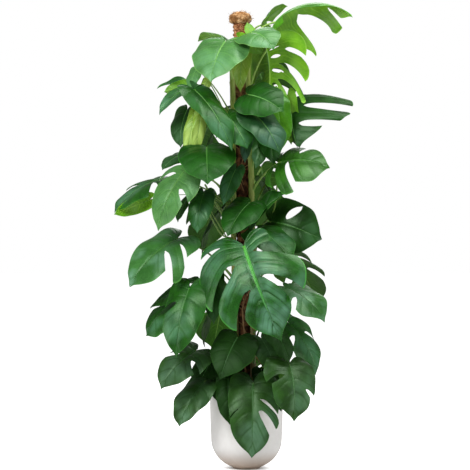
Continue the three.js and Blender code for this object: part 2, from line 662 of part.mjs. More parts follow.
    face: [0.8, 0.3, 0.4], width: 110, slots: [1, 1], color: DARK },
  { node: 'side_right_middle', stem: 'right', from: 590, base: [75, 5, 765], tip: [105, 5, 640],
    face: [0.9, 0.1, 0.4], width: 95, slots: [1, 1], color: MIDDLE },
  { node: 'side_right_low', stem: 'right', from: 400, base: [80, 35, 520], tip: [125, 55, 360],
    face: [0.9, 0.2, 0.4], width: 150, slots: [0, 0], color: DARK },
  { node: 'side_left_high', stem: 'left', from: 1030, base: [-85, 27, 1150],
    tip: [-130, 40, 990], face: [-0.9, 0.2, 0.4], width: 92, slots: [1, 1], color: DARK },
  { node: 'left_hanging', stem: 'left', from: 790, base: [-90, 15, 850],
    tip: [-145, 25, 700], face: [-0.9, 0.1, 0.4], width: 125, slots: [0, 0], color: DARK },
  { node: 'side_left_low', stem: 'left', from: 440, base: [-90, 32, 560], tip: [-140, 45, 400],
    face: [-0.9, 0.2, 0.4], width: 120, slots: [1, 1], color: MIDDLE },
  // Back
  { node: 'back_top_left', stem: 'back', from: 1290, base: [-60, 60, 1420],
    tip: [-160, 110, 1425], face: [-0.3, 0.4, 0.85], width: 120, slots: [1, 1], arch: 60,
    color: PALE },
  { node: 'back_top_right', stem: 'back', from: 1345, lift: 75, base: [55, 70, 1470],
    tip: [135, 105, 1540], face: [-0.3, 0.4, 0.85], width: 100, slots: [1, 1], color: PALE },
  { node: 'back_crown', stem: 'back', from: 1180, base: [40, 130, 1330], tip: [100, 240, 1150],
    face: [0.1, 0.8, 0.5], width: 220, slots: [3, 3], color: MIDDLE },
  { node: 'back_left', stem: 'back', from: 1020, base: [-100, 90, 1180], tip: [-170, 200, 1000],
    face: [-0.5, 0.6, 0.6], width: 220, slots: [3, 3], color: MIDDLE },
  { node: 'back_centre', stem: 'back', from: 850, base: [50, 120, 1000], tip: [80, 250, 780],
    face: [0.1, 0.8, 0.5], width: 250, slots: [3, 3], color: DARK },
  { node: 'back_dark', stem: 'back', from: 760, base: [-100, 80, 900], tip: [-140, 170, 720],
    face: [-0.4, 0.7, 0.5], width: 200, slots: [2, 2], color: DARK },
  { node: 'back_right', stem: 'back', from: 560, base: [130, 70, 700], tip: [240, 150, 540],
    face: [0.5, 0.6, 0.6], width: 220, slots: [3, 3], color: MIDDLE },
  { node: 'back_low', stem: 'back', from: 440, base: [-60, 130, 590], tip: [-110, 250, 380],
    face: [-0.2, 0.8, 0.5], width: 240, slots: [3, 3], color: DARK },
  { node: 'back_bottom', stem: 'back', from: 270, base: [70, 125, 370], tip: [120, 200, 200],
    face: [0.3, 0.8, 0.5], width: 160, slots: [1, 1], color: MIDDLE },
];

const leafSolids = new Map();
for (const leaf of LEAVES) {
  const solid = bladeSolid(leaf).add(stalkSolid(leaf));
  const before = leafSolids.get(leaf.node);
  leafSolids.set(leaf.node, before ? before.add(solid) : solid);
}
for (const [node, solid] of leafSolids) {
  const { color } = LEAVES.find((leaf) => leaf.node === node);
  addPart(`leaf_${node}`, geometryOf(withoutCrumbs(solid)), color, 0.45);
}

export default plant;
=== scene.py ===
"""A swiss cheese plant (Monstera deliciosa) climbing a coir pole in a round-bottomed white pot.

Metres, +Z up, front -Y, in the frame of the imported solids. Sizes are written in millimetres.
"""

import math
import random

import bpy
import numpy as np
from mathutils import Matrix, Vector, noise


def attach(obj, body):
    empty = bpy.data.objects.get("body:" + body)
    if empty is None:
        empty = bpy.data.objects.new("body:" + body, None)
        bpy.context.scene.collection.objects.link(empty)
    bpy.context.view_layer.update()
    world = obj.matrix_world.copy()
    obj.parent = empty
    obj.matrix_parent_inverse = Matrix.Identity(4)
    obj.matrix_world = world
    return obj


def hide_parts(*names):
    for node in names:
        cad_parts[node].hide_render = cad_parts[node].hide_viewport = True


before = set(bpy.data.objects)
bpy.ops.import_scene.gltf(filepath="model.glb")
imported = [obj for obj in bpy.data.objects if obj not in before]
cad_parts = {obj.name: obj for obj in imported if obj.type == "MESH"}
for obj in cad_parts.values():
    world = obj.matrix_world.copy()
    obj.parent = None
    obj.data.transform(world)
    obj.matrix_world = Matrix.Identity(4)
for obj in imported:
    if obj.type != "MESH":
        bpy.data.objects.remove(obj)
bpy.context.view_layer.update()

# The studio: a sheet of white paper in white air, a camera level with the middle of the plant, and
# large soft boxes above, in front and at the sides, as for a plant catalogue. All of it in metres.

PAPER_SIZE = 60.0
SHADOW_NEAR, SHADOW_FAR = 0.035, 0.1
SHADOW_GLOW = 0.1
PAPER_RETURN = 0.22
AIR_RETURN = 0.17
CAMERA_PLACE = (-0.038, -6.0, 0.770)
CAMERA_SENSOR, CAMERA_LENS, CAMERA_REACH = 36.0, 139.0, 60.0
# Each soft box: its place, the height on the pole that it points at, its side, and its power
SOFT_BOXES = {
    "key_box": ((-1.6, -2.8, 3.4), 0.8, 1.8, 165),
    "top_box": ((0.9, -0.4, 3.6), 0.8, 1.6, 80),
    "left_box": ((-3.4, -1.2, 1.0), 0.7, 1.8, 45),
    "right_box": ((3.4, -1.4, 1.2), 0.7, 1.8, 55),
    "back_box": ((0.6, 3.6, 3.0), 0.7, 2.2, 45),
}


def hex_colour(code):
    """An sRGB hex value as a linear colour."""
    parts = [int(code[i:i + 2], 16) / 255 for i in (1, 3, 5)]
    linear = [c / 12.92 if c <= 0.04045 else ((c + 0.055) / 1.055) ** 2.4 for c in parts]
    return (*linear, 1.0)


def add_node(tree, kind, inputs=None, **settings):
    """Adds a node with its settings. An input is a value, or another node's output to link."""
    made = tree.nodes.new(kind)
    for name, value in settings.items():
        setattr(made, name, value)
    for name, value in (inputs or {}).items():
        if isinstance(value, bpy.types.NodeSocket):
            tree.links.new(value, made.inputs[name])
        else:
            made.inputs[name].default_value = value
    return made


def new_material(name, **surface):
    """A material with one surface shader, whose even values are set on its own sockets."""
    material = bpy.data.materials.new(name)
    material.use_nodes = True
    shader = material.node_tree.nodes["Principled BSDF"]
    for socket, value in surface.items():
        shader.inputs[socket.replace("_", " ")].default_value = value
    return material, material.node_tree, shader


def deselect_all():
    """Leaves nothing selected, because an operator acts on all that is."""
    for thing in bpy.context.selected_objects:
        thing.select_set(False)


def named(name):
    """The object that the last operator made, given its name."""
    made = bpy.context.active_object
    made.name = made.data.name = name
    return made


deselect_all()
bpy.ops.mesh.primitive_plane_add(size=PAPER_SIZE, location=(0, 0, 0))
floor = named("studio_floor")

# White paper: it glows so that it is seen as evenly white, except close under the pot, where its
# glow is dimmed: painted shade round the foot, which adds to the contact shadow that falls there.
# It throws only a little light back up at the leaves
paper, tree, shader = new_material("white_paper_sweep", Roughness=0.9)
shader.inputs["Base Color"].default_value = hex_colour("#C8C8C8")
shader.inputs["Emission Color"].default_value = hex_colour("#FFFFFF")
place = add_node(tree, "ShaderNodeTexCoord").outputs["Object"]
away = add_node(tree, "ShaderNodeVectorMath", {0: place}, operation="LENGTH").outputs["Value"]
glow = add_node(tree, "ShaderNodeMapRange", {
    "Value": away, "From Min": SHADOW_NEAR, "From Max": SHADOW_FAR, "To Min": SHADOW_GLOW,
    "To Max": 1.0}, interpolation_type="SMOOTHSTEP").outputs[0]
seen = add_node(tree, "ShaderNodeLightPath").outputs["Is Camera Ray"]
given = add_node(tree, "ShaderNodeMapRange", {
    "Value": seen, "To Min": PAPER_RETURN, "To Max": 1.0}).outputs[0]
glow = add_node(tree, "ShaderNodeMath", {0: glow, 1: given}, operation="MULTIPLY").outputs[0]
tree.links.new(glow, shader.inputs["Emission Strength"])
floor.data.materials.append(paper)

# The air is seen as white, and lights the plant with less than that, so that its shadows stay
world = bpy.data.worlds.new("studio_air")
world.use_nodes = True
tree = world.node_tree
seen = add_node(tree, "ShaderNodeLightPath").outputs["Is Camera Ray"]
strength = add_node(tree, "ShaderNodeMapRange", {
    "Value": seen, "To Min": AIR_RETURN, "To Max": 1.0}).outputs[0]
air = tree.nodes["Background"]
air.inputs["Color"].default_value = hex_colour("#FFFFFF")
tree.links.new(strength, air.inputs["Strength"])
bpy.context.scene.world = world
bpy.context.scene.view_settings.view_transform = "Standard"

deselect_all()
bpy.ops.object.camera_add(location=CAMERA_PLACE, rotation=(math.pi / 2, 0, 0))
camera = bpy.context.active_object
camera.data.sensor_width = CAMERA_SENSOR
camera.data.lens = CAMERA_LENS
camera.data.clip_end = CAMERA_REACH
bpy.context.scene.camera = camera

for name, (place, aim, side, watts) in SOFT_BOXES.items():
    turn = (Vector((0, 0, aim)) - Vector(place)).to_track_quat("-Z", "Y").to_euler()
    bpy.ops.object.light_add(type="AREA", location=place, rotation=turn)
    light = bpy.context.active_object
    light.name = name
    light.data.size = side
    light.data.energy = watts

# The pot: a fired clay pot with a matt white glaze, turned with upright walls and a round bottom
# that ends in a small flat foot. It is open at the top and about 5 mm thick.

MM = 0.001
POT_RIM = 122
POT_HEIGHT = 246
POT_WALL = 5
POT_FOOT = 44
POT_SIDES = 96
BELLY_RADIUS = 117
BELLY_HEIGHT = 96
BELLY_DROP = 100
OUTER_START, INNER_START = 0.433, 0.5
GLAZE_MOTTLE, GLAZE_GRIT = 18, 1.6
# How high the painted shade and warm reflection at the foot reach
FOOT_SHADE_HEIGHT = 75


def belly(radius, drop, start, steps):
    """The rounded part of a wall, from the foot up to the widest place."""
    rows = []
    for i in range(steps + 1):
        turn = start + (math.pi / 2 - start) * i / steps
        rows.append((radius * math.sin(turn), BELLY_HEIGHT - drop * math.cos(turn)))
    return rows


def turned(name, rows, sides):
    """A turned body: a disc is added at the first row and drawn up through the other rows."""
    deselect_all()
    (first, low), *others = rows
    bpy.ops.mesh.primitive_circle_add(
        vertices=sides, radius=first * MM, fill_type="TRIFAN", location=(0, 0, low * MM))
    body = named(name)
    bpy.ops.object.transform_apply()
    bpy.ops.object.mode_set(mode="EDIT")
    last_radius, last_height = first, low
    for radius, height in others:
        bpy.ops.mesh.extrude_region_move(
            TRANSFORM_OT_translate={"value": (0, 0, (height - last_height) * MM)})
        share = radius / last_radius
        bpy.ops.transform.resize(value=(share, share, 1), center_override=(0, 0, height * MM))
        last_radius, last_height = radius, height
    bpy.ops.mesh.select_all(action="SELECT")
    bpy.ops.mesh.normals_make_consistent(inside=False)
    bpy.ops.object.mode_set(mode="OBJECT")
    bpy.ops.object.shade_smooth_by_angle(angle=math.radians(50))
    return body


# Foot, round bottom, upright wall, rounded lip, and down the inside again: (radius, height)
pot_rows = [(POT_FOOT - 3, 1.2), (POT_FOOT - 2, 0), (POT_FOOT, 0)]
pot_rows += belly(BELLY_RADIUS, BELLY_DROP, OUTER_START, 16)
pot_rows += [
    (BELLY_RADIUS + 2.4, 150), (POT_RIM - 0.6, POT_HEIGHT - 12), (POT_RIM, POT_HEIGHT - 3),
    (POT_RIM - 0.8, POT_HEIGHT - 0.8), (POT_RIM - 2.5, POT_HEIGHT),
    (POT_RIM - POT_WALL + 0.8, POT_HEIGHT - 0.8), (POT_RIM - POT_WALL, POT_HEIGHT - 3),
]
pot_rows += reversed(belly(BELLY_RADIUS - POT_WALL, BELLY_DROP - POT_WALL, INNER_START, 10))
pot = turned("white_pot", pot_rows, POT_SIDES)

# Matt glaze: even, soft to the eye, with a faint mottle. Towards the foot it is painted darker and
# warmer: painted shade, with a painted warm reflection in it.
glaze, tree, shader = new_material("matt_white_glaze", Roughness=0.62, Specular_IOR_Level=0.35)
place = add_node(tree, "ShaderNodeTexCoord").outputs["Object"]
height = add_node(tree, "ShaderNodeSeparateXYZ", {0: place}).outputs["Z"]
foot = add_node(tree, "ShaderNodeMapRange", {
    "Value": height, "From Max": FOOT_SHADE_HEIGHT * MM, "To Min": 1.0, "To Max": 0.0},
    interpolation_type="SMOOTHSTEP").outputs[0]
mottle = add_node(tree, "ShaderNodeTexNoise", {
    "Vector": place, "Scale": 1 / (GLAZE_MOTTLE * MM), "Detail": 3.0}).outputs[0]
white = add_node(tree, "ShaderNodeMix", {
    0: mottle, 6: hex_colour("#D3D0CD"), 7: hex_colour("#DEDCDA")}, data_type="RGBA").outputs[2]
shaded_glaze = add_node(tree, "ShaderNodeMix", {
    0: foot, 6: white, 7: hex_colour("#B9A594")}, data_type="RGBA").outputs[2]
tree.links.new(shaded_glaze, shader.inputs["Base Color"])
grit = add_node(tree, "ShaderNodeTexNoise", {
    "Vector": place, "Scale": 1 / (GLAZE_GRIT * MM), "Detail": 2.0}).outputs[0]
skin = add_node(tree, "ShaderNodeBump", {
    "Height": grit, "Strength": 0.08, "Distance": 0.4 * MM}).outputs[0]
tree.links.new(skin, shader.inputs["Normal"])
pot.data.materials.append(glaze)
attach(pot, "root")
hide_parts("pot")

# The soil: dark, damp potting mix with crumbs of bark and coir, filled to a little under the rim
# and drawn up into a low mound round the pole.

SOIL_HEIGHT = 214
SOIL_RADIUS = 115
SOIL_MOUND = 8
MOUND_POWER = 0.6
# Each size of lump: how far apart the lumps are, and how high they stand
SOIL_LUMPS = ((14, 3.0), (5, 1.6))
CRUMBS = 420
CRUMB_FIELD = 112
CRUMB_CLEAR = 26
CRUMB_SIZES = (1.2, 4.2)
BARK_SIZE, SOIL_GRIT = 4, 3

# From the foot up beside the wall, and in over the mound: (radius, height)
soil_rows = [
    (42, 14), (88, 40), (107, 80), (110, 100), (SOIL_RADIUS - 1, 190),
    (SOIL_RADIUS, SOIL_HEIGHT - 2),
]
soil_rows += [
    (SOIL_RADIUS - 4 - 6.2 * i, SOIL_HEIGHT + SOIL_MOUND * (i / 17) ** MOUND_POWER)
    for i in range(18)]
soil = turned("potting_soil", soil_rows, 72)
for corner in soil.data.vertices:
    if corner.co.z > (SOIL_HEIGHT - 4) * MM:
        lump = sum(noise.noise(corner.co / (apart * MM)) * high for apart, high in SOIL_LUMPS)
        corner.co.z += lump * MM

# The crumbs are one small ball's corners, stretched, turned and set down at random
random.seed(5)
deselect_all()
bpy.ops.mesh.primitive_ico_sphere_add(subdivisions=1, radius=1.0)
crumb = named("soil_crumb")
crumb_corners = [v.co.copy() for v in crumb.data.vertices]
crumb_faces = [tuple(f.vertices) for f in crumb.data.polygons]
bpy.data.objects.remove(crumb)
corners, faces = [], []
for _ in range(CRUMBS):
    turn, away = random.uniform(0, 2 * math.pi), CRUMB_FIELD * math.sqrt(random.random())
    if away < CRUMB_CLEAR:
        continue
    size = random.uniform(*CRUMB_SIZES)
    stretch = Vector([random.uniform(*span) for span in ((0.6, 1.7), (0.5, 1.1), (0.35, 0.8))])
    spin = random.uniform(0, math.pi)
    z = SOIL_HEIGHT + SOIL_MOUND * (1 - away / CRUMB_FIELD) ** MOUND_POWER + 0.5
    start = len(corners)
    for c in crumb_corners:
        x, y, up = (c[k] * stretch[k] * size * random.uniform(0.8, 1.2) for k in range(3))
        corners.append((
            (away * math.cos(turn) + x * math.cos(spin) - y * math.sin(spin)) * MM,
            (away * math.sin(turn) + x * math.sin(spin) + y * math.cos(spin)) * MM,
            (z + up) * MM))
    faces += [tuple(start + k for k in f) for f in crumb_faces]
crumbs_mesh = bpy.data.meshes.new("soil_crumbs")
crumbs_mesh.from_pydata(corners, [], faces)
crumbs = bpy.data.objects.new("soil_crumbs", crumbs_mesh)
bpy.context.collection.objects.link(crumbs)

# Damp potting mix: nearly black, matt, with lighter bark and fibre in it.
mix, tree, shader = new_material("damp_potting_mix", Roughness=0.95, Specular_IOR_Level=0.2)
place = add_node(tree, "ShaderNodeTexCoord").outputs["Object"]
flecks = add_node(tree, "ShaderNodeTexVoronoi", {
    "Vector": place, "Scale": 1 / (BARK_SIZE * MM)}).outputs["Color"]
tone = add_node(tree, "ShaderNodeSeparateColor", {0: flecks}).outputs[0]
bark = add_node(tree, "ShaderNodeMapRange", {
    "Value": tone, "From Min": 0.55, "From Max": 0.95}, interpolation_type="SMOOTHSTEP").outputs[0]
colour = add_node(tree, "ShaderNodeMix", {
    0: bark, 6: hex_colour("#1E1712"), 7: hex_colour("#5A4330")}, data_type="RGBA").outputs[2]
tree.links.new(colour, shader.inputs["Base Color"])
grit = add_node(tree, "ShaderNodeTexNoise", {
    "Vector": place, "Scale": 1 / (SOIL_GRIT * MM), "Detail": 4.0}).outputs[0]
rough = add_node(tree, "ShaderNodeBump", {
    "Height": grit, "Strength": 0.9, "Distance": 1.5 * MM}).outputs[0]
tree.links.new(rough, shader.inputs["Normal"])
for piece in (soil, crumbs):
    piece.data.materials.append(mix)
    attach(piece, "root")
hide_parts("soil")

# The pole: a stiff plastic tube inside a wrapped sleeve of coconut fibre. It leans a little to the
# left, and the sleeve has loose fibres that lie along it at a slant.

POLE_HEIGHT = 1470
POLE_FOOT = (3, 0, 16)
POLE_LEAN = -0.016
COIR_RADIUS = 22
SLEEVE_TOP = POLE_HEIGHT - 4
SLEEVE_BOTTOM = 150
SLEEVE_STEP = 8
SLEEVE_STEPS = 165
TUBE_RADIUS = 12.4
LUMPY_FROM = 14
# The lumps: how finely they are set round the sleeve, how far apart they are along it, and how far
# the large and the small ones stand out
LUMPS_ROUND, SLEEVE_LUMPS = 3.2, 26
LUMP, SMALL_LUMP = 0.045, 0.03
FIBRES = 620
FIBRE_RADIUS = 0.42
FIBRE_RISE = (14, 46)
FIBRE_LIFTS = (1.5, 2.0, 2.5, 5.0)
# The pattern of the coir, and the heights between which it goes from dark to painted light on top
COIR_STRAND, COIR_CLUMP = 2.4, 16
LIGHTENS_FROM, LIT_ABOVE = 1100, 1300
TUBE_SCUFF = 9


def pole_axis(z, around=0.0, away=0.0):
    """A point at a height, a turn round the pole's axis and a distance from it, in mm."""
    x = POLE_FOOT[0] + POLE_LEAN * (z - POLE_FOOT[2])
    return Vector((x + away * math.cos(around), POLE_FOOT[1] + away * math.sin(around), z))


def tubes(name, paths, sides=1):
    """Round tubes along paths of (point, radius) in mm, as one mesh with closed ends."""
    deselect_all()
    bpy.ops.curve.primitive_bezier_curve_add()
    drawn = named(name)
    drawn.location = (0, 0, 0)
    line = drawn.data
    line.splines.clear()
    line.dimensions = "3D"
    line.bevel_depth = MM
    line.bevel_resolution = sides
    line.use_fill_caps = True
    for path in paths:
        spline = line.splines.new("POLY")
        spline.points.add(len(path) - 1)
        for spot, (point, radius) in zip(spline.points, path):
            spot.co = (*(point * MM), 1.0)
            spot.radius = radius
        spline.use_smooth = True
    bpy.ops.object.convert(target="MESH")
    return bpy.context.active_object


def join(name, pieces):
    """Joins pieces into the first one, which keeps the name."""
    deselect_all()
    for piece in pieces:
        piece.select_set(True)
    bpy.context.view_layer.objects.active = pieces[0]
    bpy.ops.object.join()
    return named(name)


sleeve_rows = [(4, SLEEVE_BOTTOM), (COIR_RADIUS, SLEEVE_BOTTOM)]
sleeve_rows += [
    (COIR_RADIUS, SLEEVE_BOTTOM + SLEEVE_STEP * i) for i in range(1, SLEEVE_STEPS + 1)]
sleeve_rows += [(COIR_RADIUS, SLEEVE_TOP), (TUBE_RADIUS, SLEEVE_TOP)]
sleeve = turned("coir_sleeve", sleeve_rows, 40)
for corner in sleeve.data.vertices:
    flat = Vector((corner.co.x, corner.co.y))
    if flat.length > LUMPY_FROM * MM:
        turn = math.atan2(flat.y, flat.x)
        at = Vector((
            math.cos(turn) * LUMPS_ROUND, math.sin(turn) * LUMPS_ROUND,
            corner.co.z / (SLEEVE_LUMPS * MM)))
        grow = 1 + LUMP * noise.noise(at) + SMALL_LUMP * noise.noise(at * 3)
        corner.co.x, corner.co.y = flat.x * grow, flat.y * grow
    axis = pole_axis(corner.co.z / MM)
    corner.co.x += axis.x * MM
    corner.co.y += axis.y * MM

# A loose fibre rises or falls along the sleeve, with its ends free by a few millimetres
random.seed(11)
fibres = []
for _ in range(FIBRES):
    z = random.uniform(SOIL_HEIGHT + 10, SLEEVE_TOP - 4)
    turn = random.uniform(0, 2 * math.pi)
    slant, rise = random.uniform(-0.9, 0.9), random.uniform(*FIBRE_RISE) * random.choice((1, -1))
    lift = random.choice(FIBRE_LIFTS)
    path = []
    for i in range(5):
        share = i / 4
        away = COIR_RADIUS + 0.3 + lift * abs(share - 0.4) * 1.6
        path.append((pole_axis(z + rise * share, turn + slant * share, away), FIBRE_RADIUS))
    fibres.append(path)
sleeve_fibres = tubes("sleeve_fibres", fibres, 0)


def coir_material(name, low_tones, high_tones):
    """Coir: coarse fibre in every tone from straw to dark brown, matt and hairy. It is darker low down
    and painted lighter at the top: painted light where the pole stands clear of the leaves. The
    tones of each are its straw, its bark and its gaps."""
    made, tree, shader = new_material(name, Roughness=0.95, Specular_IOR_Level=0.15)
    place = add_node(tree, "ShaderNodeTexCoord").outputs["Object"]
    drawn = add_node(tree, "ShaderNodeMapping", {
        "Vector": place, "Rotation": (0.5, 0.2, 0), "Scale": (1, 1, 0.22)}).outputs[0]
    strands = add_node(tree, "ShaderNodeTexNoise", {
        "Vector": drawn, "Scale": 1 / (COIR_STRAND * MM), "Detail": 4.0, "Roughness": 0.65}).outputs[0]
    clumps = add_node(tree, "ShaderNodeTexNoise", {
        "Vector": place, "Scale": 1 / (COIR_CLUMP * MM), "Detail": 2.0}).outputs[0]
    sharp = add_node(tree, "ShaderNodeMapRange", {
        "Value": strands, "From Min": 0.36, "From Max": 0.66}).outputs[0]
    shade = add_node(tree, "ShaderNodeMapRange", {
        "Value": clumps, "From Min": 0.42, "From Max": 0.62}).outputs[0]
    tones = []
    for straw, bark, deep in (low_tones, high_tones):
        fine = add_node(tree, "ShaderNodeMix", {
            0: sharp, 6: hex_colour(bark), 7: hex_colour(straw)}, data_type="RGBA").outputs[2]
        tones.append(add_node(tree, "ShaderNodeMix", {
            0: shade, 6: hex_colour(deep), 7: fine}, data_type="RGBA").outputs[2])
    height = add_node(tree, "ShaderNodeSeparateXYZ", {0: place}).outputs["Z"]
    # Painted light: the tones turn to the lighter ones towards the top of the pole
    lit_top = add_node(tree, "ShaderNodeMapRange", {
        "Value": height, "From Min": LIGHTENS_FROM * MM, "From Max": LIT_ABOVE * MM}).outputs[0]
    colour = add_node(tree, "ShaderNodeMix", {
        0: lit_top, 6: tones[0], 7: tones[1]}, data_type="RGBA").outputs[2]
    tree.links.new(colour, shader.inputs["Base Color"])
    relief = add_node(tree, "ShaderNodeBump", {
        "Height": strands, "Strength": 1.0, "Distance": 2.0 * MM}).outputs[0]
    tree.links.new(relief, shader.inputs["Normal"])
    return made


old_coir = coir_material(
    "weathered_coir", ("#8A5F3E", "#54331F", "#331D11"), ("#D9A878", "#A9734A", "#7C4E30"))
sleeve.data.materials.append(old_coir)
sleeve_fibres.data.materials.append(old_coir)
sleeve = join("coir_sleeve", [sleeve, sleeve_fibres])
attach(sleeve, "root")
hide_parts("pole_coir")

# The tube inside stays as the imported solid: extruded plastic, dull grey, with faint scuffs. The
# sleeve is wrapped round all of it that stands above the soil.
tube_plastic, tree, shader = new_material("grey_pole_plastic", Roughness=0.55)
place = add_node(tree, "ShaderNodeTexCoord").outputs["Object"]
scuffs = add_node(tree, "ShaderNodeTexNoise", {
    "Vector": place, "Scale": 1 / (TUBE_SCUFF * MM), "Detail": 3.0}).outputs[0]
colour = add_node(tree, "ShaderNodeMix", {
    0: scuffs, 6: hex_colour("#3F3B38"), 7: hex_colour("#56514D")}, data_type="RGBA").outputs[2]
tree.links.new(colour, shader.inputs["Base Color"])
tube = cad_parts["pole_tube"]
tube.data.materials.clear()
tube.data.materials.append(tube_plastic)

# The pole's head: the same fibre rolled over the end of the sleeve and teased out into a thick
# cap. Most of its wisps lie flat round the roll, and a few stand out from it.

# From the neck out over the roll and in to its top: (radius, height above the pole)
HEAD_ROWS = [
    (6, -1), (21, -2), (31, 0), (35.5, 6), (37, 14), (36, 22), (31, 29), (23, 34), (14, 37), (5, 38),
]
HEAD_MIDDLE = 16
# Each size of bump: how far apart the bumps are, and how far they stand out
HEAD_BUMPS = ((11, 0.09), (4, 0.05))
WISPS = 520
WISPS_FREE = 0.12
WISP_ROUND, WISP_HIGH = 35, 18

head = turned("coir_head_roll", [(r, POLE_HEIGHT + z) for r, z in HEAD_ROWS], 48)
for corner in head.data.vertices:
    bumps = 1 + sum(noise.noise(corner.co / (apart * MM)) * out for apart, out in HEAD_BUMPS)
    corner.co.x *= bumps
    corner.co.y *= bumps
    corner.co.x += pole_axis(POLE_HEIGHT).x * MM
random.seed(21)
wisps = []
centre = pole_axis(POLE_HEIGHT + HEAD_MIDDLE)
for _ in range(WISPS):
    turn, tilt = random.uniform(0, 2 * math.pi), random.uniform(-0.75, 1.45)
    out = Vector((
        math.cos(turn) * math.cos(tilt) * WISP_ROUND, math.sin(turn) * math.cos(tilt) * WISP_ROUND,
        math.sin(tilt) * WISP_HIGH))
    along = Vector((-math.sin(turn), math.cos(turn), random.uniform(-0.5, 0.5)))
    free = random.random() < WISPS_FREE
    length = random.uniform(14, 34)
    path = []
    for i in range(5):
        share = i / 4
        reach = 1.0 + (0.30 * share ** 2 if free else 0.06 * math.sin(share * 3))
        bent = out * reach + along * length * (share - 0.5)
        path.append((centre + bent, 0.5 - 0.2 * share))
    wisps.append(path)
head_wisps = tubes("head_wisps", wisps, 0)
fresh_coir = coir_material(
    "loose_coir", ("#E6C294", "#C0925E", "#946A40"), ("#EBC99C", "#C0905C", "#8A6038"))
head.data.materials.append(fresh_coir)
head_wisps.data.materials.append(fresh_coir)
head = join("coir_head_roll", [head, head_wisps])
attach(head, "root")
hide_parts("pole_head")

# The twine: brown jute, wound round the neck under the head both ways and pulled tight, so that
# its turns cross and hold the fibre on.

TWINE_RADIUS = 1.3
TWINE_AWAY = COIR_RADIUS + 2.4
JUTE_TWIST = 14
NECK_DROP, NECK_HEIGHT = 44, 39
TURN_STEPS = 24
# Each winding: its way round, how far it rises in a turn, and where on the pole it starts
WINDINGS = ((1, 13, 0.0), (-1, 13, 0.6), (1, 26, 2.0))

twine_paths = []
for way, rise, start in WINDINGS:
    path = []
    for i in range(int(NECK_HEIGHT / rise * TURN_STEPS) + 1):
        turn = i / TURN_STEPS
        z, around = POLE_HEIGHT - NECK_DROP + rise * turn, way * 2 * math.pi * turn + start
        path.append((pole_axis(z, around, TWINE_AWAY), TWINE_RADIUS))
    twine_paths.append(path)
twine = tubes("netting_twine", twine_paths, 1)

# Jute: two plies, brown and dull, with a short twist that shows as a slanting bump.
jute, tree, shader = new_material("brown_jute_twine", Roughness=0.9, Specular_IOR_Level=0.2)
place = add_node(tree, "ShaderNodeTexCoord").outputs["Object"]
ply = add_node(tree, "ShaderNodeTexWave", {
    "Vector": place, "Scale": 1 / (JUTE_TWIST * MM), "Distortion": 2.0, "Detail": 1.0},
    bands_direction="DIAGONAL").outputs["Fac"]
colour = add_node(tree, "ShaderNodeMix", {
    0: ply, 6: hex_colour("#6E3E24"), 7: hex_colour("#B07A50")}, data_type="RGBA").outputs[2]
tree.links.new(colour, shader.inputs["Base Color"])
twist = add_node(tree, "ShaderNodeBump", {
    "Height": ply, "Strength": 0.8, "Distance": 0.6 * MM}).outputs[0]
tree.links.new(twist, shader.inputs["Normal"])
twine.data.materials.append(jute)
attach(twine, "root")
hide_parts("pole_twine")

# The climbing stems: three thick green stems that grew up beside the pole, ringed where old
# leaves sat, with brown aerial roots that grip the coir or hang down into the soil.

STEM_RADIUS = 10
STEM_AWAY = COIR_RADIUS + STEM_RADIUS + 1.5
STEM_SWAY, STEM_SWAY_HEIGHT = 1.5, 90
STEM_WOBBLE_HEIGHT = 160
STEM_TAPER, STEM_TIP = 60, 0.45
STEM_STEP = 6.2
# The scars that ring a stem: how far apart, how narrow and how high they are
RING_STEP, RING_WIDTH, RING_SWELL = 62, 0.006, 0.12
# The short roots of a stem that grip the coir, with their radius and the height of the lowest,
# and the radius of a root that hangs down into the soil
GRIPPING_ROOTS, GRIP_RADIUS, GRIP_FOOT = 26, 1.9, 260
ROOT_RADIUS = 2.6
# Each stem: its side of the pole in degrees, how far it wanders round it, its foot and its top
STEMS = {
    "left": (205, 9, 150, 1400),
    "right": (320, -8, 150, 1430),
    "back": (85, 10, 150, 1360),
}
# Each root down to the soil: its stem, where it leaves it, its side, and how far out it hangs
ROOTS = [
    ("left", 470, 222, 62), ("left", 400, 190, 58), ("right", 600, 264, 60),
    ("right", 380, 345, 64), ("back", 480, 60, 62),
]


def stem_point(stem, z):
    """The middle of a stem at a height, in mm."""
    around, wobble = STEMS[stem][:2]
    turn = math.radians(around + wobble * math.sin(z / STEM_WOBBLE_HEIGHT))
    sway = STEM_SWAY * math.sin(z / STEM_SWAY_HEIGHT) ** 2
    return pole_axis(z, turn, STEM_AWAY + sway)


def smooth_path(points, steps):
    """A smooth line through the points, evenly split between each two of them."""
    line = []
    for i in range(len(points) - 1):
        p0, p1, p2 = points[max(i - 1, 0)], points[i], points[i + 1]
        p3 = points[min(i + 2, len(points) - 1)]
        for k in range(steps):
            t = k / steps
            line.append(0.5 * (2 * p1 + (p2 - p0) * t + (2 * p0 - 5 * p1 + 4 * p2 - p3) * t * t
                               + (3 * p1 - p0 - 3 * p2 + p3) * t ** 3))
    line.append(points[-1])
    return line


